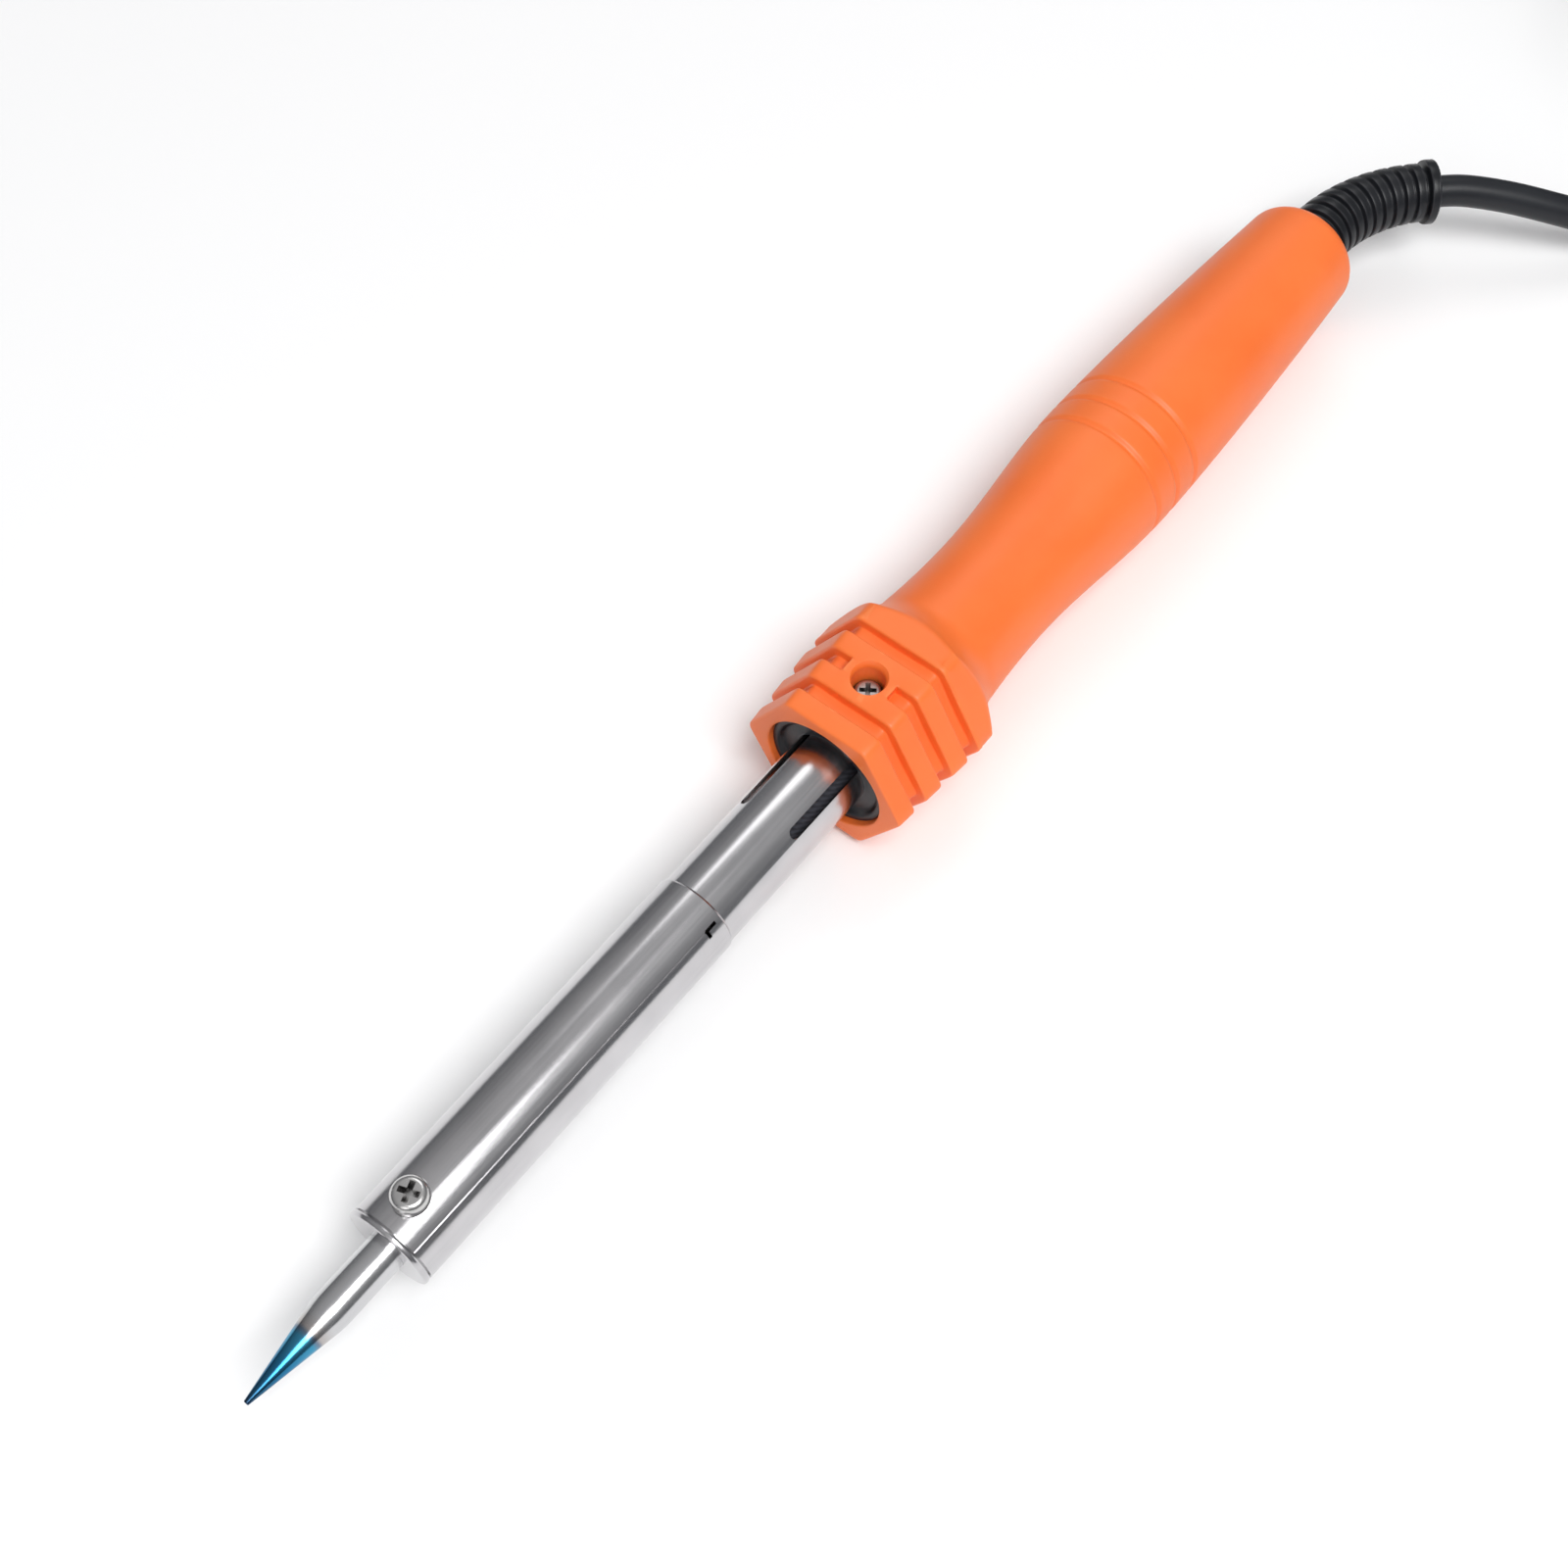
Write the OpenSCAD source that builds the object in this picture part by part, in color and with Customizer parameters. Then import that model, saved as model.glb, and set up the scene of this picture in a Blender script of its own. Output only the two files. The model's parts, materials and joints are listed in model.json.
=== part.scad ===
// Soldering iron with a steel barrel, a one-piece moulded handle and a mains cord.
// Lengths are in millimetres. The iron lies on its collar, tip towards -X, with +Z up.
// The origin is on the table, under the middle of the iron without its cord.

/* [Tip] */
// Length of tip that stands out of the front cap
tip_out = 26.7; // [20:0.1:45]
// Length of tip shank inside the barrel
tip_in = 50; // [30:1:60]
// Diameter of the tip shank
tip_d = 6; // [4:0.1:7.2]
// Length of the cone at the working end
tip_cone_l = 15.6; // [8:0.1:19]
// Diameter of the blunt point
tip_point_d = 0.9; // [0.5:0.1:2]

/* [Barrel] */
// Diameter of the front section of the barrel
barrel_front_d = 14; // [13.8:0.1:15.5]
// Length of the front section of the barrel
barrel_front_l = 64.6; // [50:0.1:80]
// Diameter of the rear section of the barrel
barrel_rear_d = 13.3; // [12.9:0.1:13.6]
// Length of the rear section that shows ahead of the handle
barrel_rear_show = 31; // [22:0.1:45]
// Length of barrel inside the handle
barrel_seat_l = 17.5; // [14:0.1:18]
// Wall of the barrel
barrel_wall = 0.5; // [0.4:0.05:0.7]
// Width of the four heat slots in the rear section
slot_w = 2; // [1:0.1:2.6]
// Length of each heat slot that shows ahead of the handle
slot_show = 13.9; // [6:0.1:18]
// Length of each heat slot that runs on inside the bushing
slot_hidden = 3; // [1:0.1:5]
// Width of the rolled seam line
seam_w = 0.3; // [0.2:0.05:0.5]
// Depth of the rolled seam line
seam_depth = 0.25; // [0.1:0.05:0.3]
// Angle of the seam from straight up, towards -Y
seam_angle = 45; // [35:1:60]
// Length of the hooked notch where the seam ends
notch_l = 3.2; // [2:0.1:5]

/* [Front cap] */
// Thickness of the cap's rim
cap_rim_t = 1; // [0.8:0.1:2]
// How far the rim stands out past the barrel, all round
cap_rim_proud = 0.1; // [0:0.05:0.6]
// Open line between the rim and the barrel
cap_line = 0.2; // [0.1:0.05:0.4]
// Length of the cap's plug inside the barrel
cap_plug_l = 9.5; // [8:0.1:14]

/* [Tip screw] */
// Distance from the front of the barrel to the screw's axis
screw_back = 5; // [4:0.1:6]
// Thread diameter of the tip screw
screw_d = 3; // [2.5:0.1:3.5]
// Diameter of the pan head
screw_head_d = 5.6; // [4.8:0.1:6.4]
// Height of the pan head
screw_head_h = 2.2; // [1.8:0.1:2.6]
// Width of the blades of the cross recess
cross_w = 0.8; // [0.6:0.1:1]
// Length of the blades of the cross recess
cross_l = 3.4; // [2.8:0.1:4]
// Depth of the cross recess
cross_depth = 1.3; // [0.8:0.1:1.5]

/* [Heater] */
// Wall of the steel tube that holds the tip shank
core_wall = 0.4; // [0.3:0.05:0.5]
// Thickness of each mica wrap
mica_t = 0.35; // [0.2:0.05:0.4]
// Diameter of the heating wire
winding_wire_d = 0.5; // [0.3:0.05:0.6]
// Pitch of the heating winding
winding_pitch = 1; // [0.8:0.1:1.6]
// Length of the heater
heater_l = 46; // [32:1:48]
// Thickness of the rear ceramic disc
disc_t = 8; // [5:0.5:12]
// Diameter of the bare heater leads
lead_d = 0.8; // [0.5:0.1:1]
// Outer diameter of the glass-fibre lead sleeves
lead_sleeve_d = 2.2; // [1.6:0.1:2.4]

/* [Collar] */
// Width across the flats of the collar at its front face
collar_front_af = 26; // [25.4:0.1:27]
// Width across the flats of the rear flange
collar_rear_af = 28.8; // [28:0.1:31]
// Length of the first and every other ring of the collar
ring_w = 3.7; // [3:0.1:4]
// Width of the grooves between the rings
groove_w = 2.5; // [1.5:0.1:3.2]
// Depth of the grooves
groove_depth = 2; // [1:0.1:2.2]
// How far the corners of the hexagon are rounded off
corner_round = 0.3; // [0.1:0.05:0.8]
// Diameter of the sunk screw hole in the top flat
hole_d = 5.2; // [5:0.1:6]
// Width of the bridge across the middle groove, round the screw hole
bridge_w = 8.3; // [7.8:0.1:10]
// Distance from the front face to the screw hole
hole_back = 10.9; // [10:0.1:12]

/* [Handle] */
// Length of the handle with its collar
handle_l = 142; // [125:1:170]
// Diameter of the neck behind the collar
neck_d = 23; // [22:0.1:25]
// Length of the slope between the collar and the neck
neck_slope_l = 7.1; // [5:0.1:9]
// Diameter of the waist
waist_d = 21.5; // [21:0.1:22.5]
// Distance from the front face to the waist
waist_back = 44.2; // [40:0.1:50]
// Diameter of the belly
belly_d = 26.2; // [25:0.1:28]
// Distance from the front face to the belly
belly_back = 79; // [70:0.5:85]
// Diameter of the rear end
rear_d = 20.6; // [20.2:0.1:24]
// Rounding of the rear edge
rear_round = 3.5; // [2:0.1:4]
// Bore of the hollow handle
cavity_d = 16.5; // [16:0.1:17.2]
// Thickness of the rear wall
rear_wall = 6; // [5:0.1:8]
// Depth of the three grip rings
grip_depth = 0.4; // [0.2:0.05:0.6]
// Width of each grip ring
grip_w = 1.8; // [1:0.1:2.5]
// Spacing of the grip rings
grip_pitch = 5.5; // [4:0.1:7]
// Distance from the front face to the middle grip ring
grip_back = 79.5; // [74:0.5:90]

/* [Bushing] */
// Diameter of the bushing's front flange
bush_flange_d = 21.5; // [20.6:0.1:21.8]
// Thickness of the front flange
bush_flange_t = 2.6; // [2:0.1:3]
// How far the flange sits below the front face of the collar
bush_recess = 1; // [0.5:0.1:1]
// Diameter of the bushing's body
bush_body_d = 17.5; // [17:0.1:18]
// Depth of the dish in the flange
bush_dish = 0.8; // [0.4:0.1:1.2]
// Length of the shoulder that stops the barrel
bush_stop_l = 3; // [2:0.1:5]
// Diameter of the opening for the leads
bush_lead_d = 9.6; // [9:0.1:10.5]

/* [Clamp screw] */
// Thread diameter of the sunk screw in the collar
clamp_d = 3.5; // [3:0.1:3.8]
// Diameter of its head
clamp_head_d = 4.8; // [4.5:0.1:4.9]
// Height of its head
clamp_head_h = 2; // [1.5:0.1:2.2]

/* [Terminals] */
// Length of the ceramic terminal block
block_l = 16; // [14:0.5:20]
// Width of the block
block_w = 12.4; // [12:0.1:12.6]
// Height of the block
block_h = 8.6; // [8.4:0.1:9]
// Distance from the handle's front face to the block
block_back = 74; // [60:1:80]
// Distance between the two terminals
terminal_pitch = 6; // [5.8:0.1:6.2]
// Outer diameter of the brass terminal tubes
terminal_d = 4.4; // [4.2:0.1:4.6]
// Bore of the brass terminal tubes
terminal_bore = 2.4; // [2.3:0.1:2.6]
// Thread diameter of the terminal screws
terminal_screw_d = 2; // [1.8:0.1:2.1]
// Head diameter of the terminal screws
terminal_head_d = 3; // [2.8:0.1:3.2]
// Diameter of the insulated cores of the cord
core_d = 2; // [1.8:0.1:2.2]
// Diameter of the bare strands of each core
strand_d = 1.2; // [1:0.1:1.4]
// Distance from the block to the end of the cord's sheath
core_show = 16; // [12:1:20]

/* [Cord] */
// Diameter of the cord
cord_d = 5.8; // [5.2:0.1:6.2]
// Diameter of the strain relief at the handle
relief_root_d = 12.1; // [11.4:0.1:12.6]
// Diameter of the strain relief at its free end
relief_end_d = 10.4; // [9.8:0.1:11]
// Number of ribs on the strain relief
relief_ribs = 11; // [8:1:13]
// Depth of the grooves between the ribs
relief_rib_depth = 0.8; // [0.4:0.1:1]
// Straight stretch of the strain relief at the handle
relief_straight = 3; // [2:0.5:6]
// Radius of the strain relief's bend
relief_bend_r = 32.5; // [28:0.5:40]
// Diameter of the strain relief's flange inside the handle
relief_flange_d = 15.6; // [15.2:0.1:15.8]
// Thickness of that flange
relief_flange_t = 3; // [2:0.1:4]
// Length of the crimp ring that keeps the cord from pulling out
crimp_l = 6; // [4:0.5:8]

/* [Plug] */
// Width of the plug's body
plug_w = 35; // [34:0.5:36]
// Thickness of the plug's body
plug_t = 13.7; // [13:0.1:14.4]
// Length of the plug's body
plug_l = 26; // [24:0.5:30]
// Length over which the body narrows towards the tail
plug_neck_l = 10; // [8:0.5:12]
// Length of the plug's tail, where the cord goes in
plug_tail_l = 12; // [10:0.5:14]
// Diameter of the tail at the cord
plug_tail_d = 8.6; // [8:0.1:9.4]
// Diameter of the plug's pins
pin_d = 4; // [4:0.1:4.8]
// Length of the plug's pins
pin_l = 19; // [17:0.5:19]
// Diameter of each pin's core inside the plug and the sleeve
pin_core_d = 2.4; // [2:0.1:2.8]
// Length of each pin inside the plug
pin_root_l = 8; // [5:0.5:10]
// Length of the insulating sleeve on each pin
pin_sleeve_l = 10; // [8:0.5:11]
// Diameter of the insulating sleeve on each pin
pin_sleeve_d = 3.4; // [3.2:0.1:3.8]
// Distance between the pins
pin_pitch = 19; // [18:0.5:19]

/* [Fits] */
// Radial running clearance of the tip in its bores
tip_clear = 0.06; // [0.03:0.01:0.1]
// Radial clearance of sleeves and bodies that are assembled by hand
slip = 0.05; // [0.02:0.01:0.1]
// Radial clearance of threads and of what is clamped
snug = 0.02; // [0.01:0.01:0.05]
// Radial clearance round the shank of the tip screw in the barrel
screw_pass = 0.2; // [0.1:0.05:0.3]

/* [Hidden] */

$fn = 72;
// Small overshoot that lets a cutter pass right through
cut = 0.5;

// Stations along the iron, from the tip to the rear end of the handle
barrel_show = barrel_front_l + barrel_rear_show;
overall = tip_out + cap_rim_t + cap_line + barrel_show + handle_l;
tip_x = -overall / 2;
cap_x = tip_x + tip_out;
barrel_x = cap_x + cap_rim_t + cap_line;
step_x = barrel_x + barrel_front_l;
handle_x = step_x + barrel_rear_show;
handle_end_x = handle_x + handle_l;
axis_z = collar_rear_af / 2;

// Barrel and heater
front_bore_d = barrel_front_d - 2 * barrel_wall;
rear_bore_d = barrel_rear_d - 2 * barrel_wall;
cap_bore_d = tip_d + 2 * tip_clear;
screw_x = barrel_x + screw_back;
heater_x = barrel_x + cap_plug_l + slip;
core_d_out = cap_bore_d + 2 * core_wall;
inner_mica_d = core_d_out + 2 * (mica_t + slip);
winding_mid_d = inner_mica_d + winding_wire_d + 2 * slip;
winding_d = winding_mid_d + winding_wire_d;
winding_turns = floor((heater_l - 4) / winding_pitch);
winding_l = winding_turns * winding_pitch;
winding_x = heater_x + (heater_l - winding_l) / 2;
outer_mica_d = winding_d + 2 * (mica_t + slip);
disc_x = step_x + 4;

// Collar: rings and grooves alternate, and the rear flange is the last ring
collar_pitch = ring_w + groove_w;
flange_start = 3 * collar_pitch;
collar_l = flange_start + ring_w;
collar_flare = atan((collar_rear_af - collar_front_af) / 2 / flange_start);
corner_front_r = collar_front_af / 2 / cos(30) - corner_round;
corner_rear_r = collar_rear_af / 2 / cos(30) - corner_round;
bush_l = barrel_seat_l - bush_recess + bush_stop_l;
bush_x = handle_x + bush_recess;

// Terminals and wires inside the handle
block_x = handle_x + block_back;
block_rear_x = block_x + block_l;
sheath_x = block_rear_x + core_show;
core_gap = core_d + 0.2;
wall_x = handle_end_x - rear_wall;

// Strain relief: it bends towards -Y by this angle, which the cord's points start from
relief_bend = 48;
bend_x = handle_end_x + relief_straight;
exit_point = [bend_x + relief_bend_r * sin(relief_bend), -relief_bend_r * (1 - cos(relief_bend)), axis_z];
exit_way = [cos(relief_bend), -sin(relief_bend), 0];

// Free cord: points chosen by hand, from the end of the strain relief
cord_r = cord_d / 2;
cord_route = [[0, 0, 0], [4, -4.4, -0.2], [9, -11.2, -1.5], [14, -18.6, -3.6], [19.6, -26.4, -6.4],
    [24.2, -31.5, -8.4], [29.7, -35.5, -10], [35.9, -38.3, -11.1], [41.5, -39.6, -11.5],
    [50, -40.2, -11.5], [62, -40.4, -11.5], [78, -40.3, -11.5], [94, -40.1, -11.5],
    [109, -40, -11.5], [122, -39.9, -11.5]];
// Centre of the coil, from the end of the strain relief
coil_at = [122, -8];
coil_centre = [exit_point[0] + coil_at[0], exit_point[1] + coil_at[1]];
// Coil: radius at the middle of its turns, turns side by side in a layer, and layers
coil_r = 29;
coil_wide = 1;
coil_layers = 6;
layer_h = cord_d + 0.1;
coil_h = coil_layers * layer_h;
coil_half_w = coil_wide * cord_r + cord_r;
// Cord from the top of the coil to the plug, from the coil's centre
end_route = [[0, 30, 32.4], [-8.5, 30, 32.9], [-17, 30, 33.9], [-25.1, 28.6, 35], [-32.2, 24.5, 36.3],
    [-37.5, 18.2, 37.6], [-40.3, 10.4, 38.9], [-40.3, 2.2, 40.1], [-37.5, -5.6, 41.1],
    [-32.2, -11.9, 41.8], [-25.1, -16, 42.2], [-17, -17.4, 42.3]];
plug_at = [-17, -17.4];
plug_z = coil_h + plug_t / 2 + slip;

function unit(v) = v / norm(v);
// Point on a smooth curve through p1 and p2, with p0 and p3 as their neighbours
function between(p0, p1, p2, p3, t) = 0.5 * (2 * p1 + (p2 - p0) * t
    + (2 * p0 - 5 * p1 + 4 * p2 - p3) * t * t + (3 * p1 - p0 - 3 * p2 + p3) * t * t * t);
function smooth_line(p, steps) = let (n = len(p)) [
    for (i = [0 : n - 2], k = [0 : steps - 1])
        between(p[max(i - 1, 0)], p[i], p[i + 1], p[min(i + 2, n - 1)], k / steps),
    p[n - 1]];
function way_at(line, i) = unit(line[min(i + 1, len(line) - 1)] - line[max(i - 1, 0)]);

// The way that the tube faces at each point of line, with first_way at its start
function ways_of(line, first_way) = [for (i = [0 : len(line) - 1]) i == 0 ? first_way : way_at(line, i)];

// Round tube through the points of line, facing ways, with a diameter for each point
module tube_along(line, ways, diameters, sides = 12) {
    rings = len(line);
    points = [for (i = [0 : rings - 1])
        let (side = unit(cross(ways[i], [0, 0, 1])), up = cross(side, ways[i]))
        for (k = [0 : sides - 1])
            line[i] + diameters[i] / 2 * (cos(360 * k / sides) * side + sin(360 * k / sides) * up)];
    walls = [for (i = [0 : rings - 2], k = [0 : sides - 1])
        let (a = i * sides + k, b = i * sides + (k + 1) % sides)
        [a, b, b + sides, a + sides]];
    start_face = [[for (k = [sides - 1 : -1 : 0]) k]];
    end_face = [[for (k = [0 : sides - 1]) (rings - 1) * sides + k]];
    polyhedron(points, concat(walls, start_face, end_face));
}

// Cord of one diameter along a route
module cord_along(route, first_way) {
    line = smooth_line(route, 3);
    tube_along(line, ways_of(line, first_way), [for (p = line) cord_d]);
}

// Puts a shape made along +Z onto the iron's axis, starting at x
module on_axis(x) {
    translate([x, 0, axis_z])
        rotate([0, 90, 0])
            children();
}

// Tube made along +Z
module pipe(outer_d, inner_d, l) {
    difference() {
        cylinder(d = outer_d, h = l);
        translate([0, 0, -cut])
            cylinder(d = inner_d, h = l + 2 * cut);
    }
}

// Solid ring with rounded outer edges, made along +Z
module rounded_disc(d, l, round_r) {
    rotate_extrude()
        polygon([[0, 0], [d / 2 - round_r, 0], [d / 2 - 0.3 * round_r, 0.3 * round_r], [d / 2, round_r],
            [d / 2, l - round_r], [d / 2 - 0.3 * round_r, l - 0.3 * round_r], [d / 2 - round_r, l],
            [0, l]]);
}

// Straight rod from point a to point b
module rod(a, b, d) {
    v = b - a;
    translate(a)
        rotate([0, acos(v[2] / norm(v)), atan2(v[1], v[0])])
            cylinder(d = d, h = norm(v), $fn = 32);
}

module soldering_tip() {
    point_r = tip_point_d / 2;
    shank_r = tip_d / 2;
    tip_l = tip_out + tip_in;
    color("lightsteelblue")
        on_axis(tip_x)
            rotate_extrude()
                polygon([[0, 0], [point_r - 0.15, 0], [point_r, 0.2], [shank_r, tip_cone_l],
                    [shank_r, tip_l - 0.5], [shank_r - 0.5, tip_l], [0, tip_l]]);
}

// Pan head, made along +Z from its seat
module pan_head(d, h) {
    rotate_extrude()
        polygon([[0, 0], [d / 2, 0], [d / 2, 0.35 * h],
            for (a = [10 : 10 : 80]) [d / 2 * (0.45 + 0.55 * cos(a)), h * (0.35 + 0.65 * sin(a))],
            [0.45 * d / 2, h], [0, h]]);
}

module cross_recess(w, l, depth) {
    for (a = [0, 90])
        rotate([0, 0, a + 20])
            translate([-l / 2, -w / 2, -depth])
                cube([l, w, depth + cut]);
}

module tip_screw() {
    seat_z = axis_z + barrel_front_d / 2 + snug;
    shank_l = seat_z - axis_z - tip_d / 2 - snug;
    color("silver")
        translate([screw_x, 0, seat_z])
            difference() {
                union() {
                    pan_head(screw_head_d, screw_head_h);
                    translate([0, 0, -shank_l])
                        cylinder(d = screw_d, h = shank_l + 0.1);
                }
                translate([0, 0, screw_head_h])
                    cross_recess(cross_w, cross_l, cross_depth);
            }
}

module front_cap() {
    color("gainsboro")
        difference() {
            on_axis(cap_x) {
                rounded_disc(barrel_front_d + 2 * cap_rim_proud, cap_rim_t, 0.35);
                cylinder(d = front_bore_d - 2 * slip, h = cap_rim_t + cap_line + cap_plug_l);
            }
            on_axis(cap_x - cut)
                cylinder(d = cap_bore_d, h = cap_rim_t + cap_line + cap_plug_l + 2 * cut);
            translate([screw_x, 0, axis_z])
                cylinder(d = screw_d + 2 * snug, h = barrel_front_d);
        }
}

// Outer shape of the barrel, with a short slope at the step
module barrel_shell() {
    end_x = barrel_show + barrel_seat_l;
    front_r = barrel_front_d / 2;
    rear_r = barrel_rear_d / 2;
    rotate_extrude()
        polygon([[front_r - barrel_wall, 0], [front_r, 0],
            [front_r, barrel_front_l], [rear_r, barrel_front_l + 0.4],
            [rear_r, end_x], [rear_r - barrel_wall, end_x],
            [rear_r - barrel_wall, barrel_front_l], [front_r - barrel_wall, barrel_front_l - 0.4]]);
}

module barrel() {
    slot_l = slot_show + slot_hidden;
    color("silver")
        difference() {
            on_axis(barrel_x)
                barrel_shell();
            for (a = [45 : 90 : 315])
                translate([handle_x - slot_show, 0, axis_z])
                    rotate([a, 0, 0])
                        translate([0, 0, rear_bore_d / 2 - 1]) {
                            translate([slot_w / 2, 0, 0])
                                cylinder(d = slot_w, h = barrel_wall + 2);
                            translate([slot_w / 2, -slot_w / 2, 0])
                                cube([slot_l - slot_w / 2, slot_w, barrel_wall + 2]);
                        }
            translate([barrel_x, 0, axis_z])
                rotate([seam_angle, 0, 0])
                    translate([-cut, -seam_w / 2, barrel_front_d / 2 - seam_depth])
                        cube([barrel_front_l + cut - notch_l / 2, seam_w, 2]);
            translate([step_x - notch_l, 0, axis_z])
                rotate([seam_angle, 0, 0])
                    translate([0, -seam_w, barrel_front_d / 2 - barrel_wall - cut]) {
                        cube([notch_l - 1, 2 * seam_w, 2]);
                        translate([-0.1, -1, 0])
                            cube([2 * seam_w, 1 + seam_w, 2]);
                    }
            translate([screw_x, 0, axis_z])
                cylinder(d = screw_d + 2 * screw_pass, h = barrel_front_d);
        }
}

module heater_core() {
    color("darkgray")
        on_axis(heater_x)
            pipe(core_d_out, cap_bore_d, heater_l);
}

module inner_mica() {
    color("burlywood")
        on_axis(heater_x + 0.5)
            pipe(inner_mica_d, core_d_out + 2 * slip, heater_l - 1);
}

// Close-wound heating wire, as one sleeve with a rounded ridge for each turn
module heater_winding() {
    inner_r = inner_mica_d / 2 + slip;
    mid_r = winding_mid_d / 2;
    color("dimgray")
        on_axis(winding_x)
            rotate_extrude()
                polygon([[inner_r, 0],
                    for (i = [0 : winding_turns - 1], k = [0 : 4])
                        [mid_r + winding_wire_d / 2 * sin(45 * k), winding_pitch * (i + (k + 0.5) / 5)],
                    [inner_r, winding_l]]);
}

module outer_mica() {
    color("burlywood")
        on_axis(heater_x + 0.5)
            pipe(outer_mica_d, winding_d + 2 * slip, heater_l - 1);
}

module packing_sleeve() {
    color("whitesmoke")
        on_axis(heater_x)
            pipe(front_bore_d - 2 * slip, outer_mica_d + 2 * slip, heater_l);
}

module rear_disc() {
    color("ivory")
        difference() {
            on_axis(disc_x)
                rounded_disc(rear_bore_d - 2 * slip, disc_t, 0.5);
            for (side = [-1, 1])
                translate([0, side * terminal_pitch / 2, 0])
                    on_axis(disc_x - cut)
                        cylinder(d = lead_d + 2 * slip, h = disc_t + 2 * cut, $fn = 32);
        }
}

// Both leads leave the winding between the mica wraps as single wires, are twisted thicker
// behind the heater, and run through the disc into the terminals
module heater_leads() {
    winding_y = winding_mid_d / 2;
    lead_y = terminal_pitch / 2;
    lead_x = heater_x + heater_l + 1;
    color("silver")
        for (side = [-1, 1]) {
            // Bare winding end, stopping just short of the thick lead it is twisted to
            rod([winding_x + winding_l + 0.1, side * winding_y, axis_z],
                [lead_x - 0.15, side * winding_y, axis_z], winding_wire_d);
            rod([lead_x, side * lead_y, axis_z], [block_x + block_l / 2 - 1, side * lead_y, axis_z], lead_d);
        }
}

module lead_sleeves() {
    start_x = disc_x + disc_t + 0.5;
    color("linen")
        for (side = [-1, 1])
            translate([0, side * terminal_pitch / 2, 0])
                on_axis(start_x)
                    pipe(lead_sleeve_d, lead_d + 2 * slip, block_x - 0.5 - start_x);
}

// Black heat-proof bushing: dished flange, body, and a shoulder behind the barrel
module barrel_bushing() {
    flange_r = bush_flange_d / 2 - snug;
    body_r = bush_body_d / 2 - snug;
    bore_r = barrel_rear_d / 2 + snug;
    dish_r = flange_r - 1.4;
    lead_r = bush_lead_d / 2;
    seat_l = bush_l - bush_stop_l + slip;
    color("dimgray")
        difference() {
            on_axis(bush_x)
                rotate_extrude()
                    polygon([[bore_r, bush_dish], [dish_r, bush_dish], [dish_r + 0.3, 0],
                        [flange_r - 0.3, 0], [flange_r, 0.3], [flange_r, bush_flange_t],
                        [body_r, bush_flange_t], [body_r, bush_l], [lead_r, bush_l],
                        [lead_r, seat_l], [bore_r, seat_l]]);
            translate([handle_x + hole_back, 0, axis_z])
                cylinder(d = clamp_d + 2 * snug, h = bush_body_d);
        }
}

// Flared hexagon with flats up and down, made along +Z, smaller all round by inset
module flared_hex(inset, l) {
    af = collar_rear_af - 2 * inset;
    front_af = collar_front_af - 2 * inset;
    front_r = corner_front_r - inset;
    rear_r = corner_rear_r - inset;
    difference() {
        intersection() {
            rotate([0, 0, 30])
                cylinder(d = af / cos(30), h = l, $fn = 6);
            rotate_extrude()
                polygon([[0, 0], [front_r, 0], [rear_r, flange_start], [rear_r, l], [0, l]]);
        }
        for (a = [0 : 60 : 300])
            rotate([0, 0, a])
                translate([front_af / 2, 0, 0])
                    rotate([0, collar_flare, 0])
                        translate([0, -af, -af])
                            cube([af, 2 * af, 2 * af]);
    }
}

// The three front rings and the bridge, standing on the groove floor
module collar_rings() {
    ring_r = collar_rear_af;
    flared_hex(groove_depth, flange_start + 1);
    intersection() {
        flared_hex(0, flange_start);
        union() {
            for (i = [0 : 2])
                translate([0, 0, i * collar_pitch])
                    cylinder(r = ring_r, h = ring_w);
            translate([-ring_r, -bridge_w / 2, collar_pitch + 1])
                cube([ring_r, bridge_w, collar_pitch]);
        }
    }
}

// Radius of the grip at distance s behind the front face
function neck_r(s) = let (share = (waist_back - s) / (waist_back - collar_l - neck_slope_l))
    waist_d / 2 + (neck_d - waist_d) / 2 * pow(share, 2);
function swell_r(s) = let (share = (s - waist_back) / (belly_back - waist_back))
    waist_d / 2 + (belly_d - waist_d) / 4 * (1 - cos(180 * share));
function taper_r(s) = let (share = (s - belly_back) / (handle_l - belly_back))
    belly_d / 2 - (belly_d - rear_d) / 2 * pow(share, 1.6);
function grip_r(s) = s < waist_back ? neck_r(s) : s < belly_back ? swell_r(s) : taper_r(s);
// Depth of the grip rings at distance s
function grip_cut(s) = let (near = min([for (i = [-1 : 1]) abs(s - grip_back - i * grip_pitch)]))
    near < grip_w / 2 ? grip_depth * (1 + cos(360 * near / grip_w)) / 2 : 0;

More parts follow.
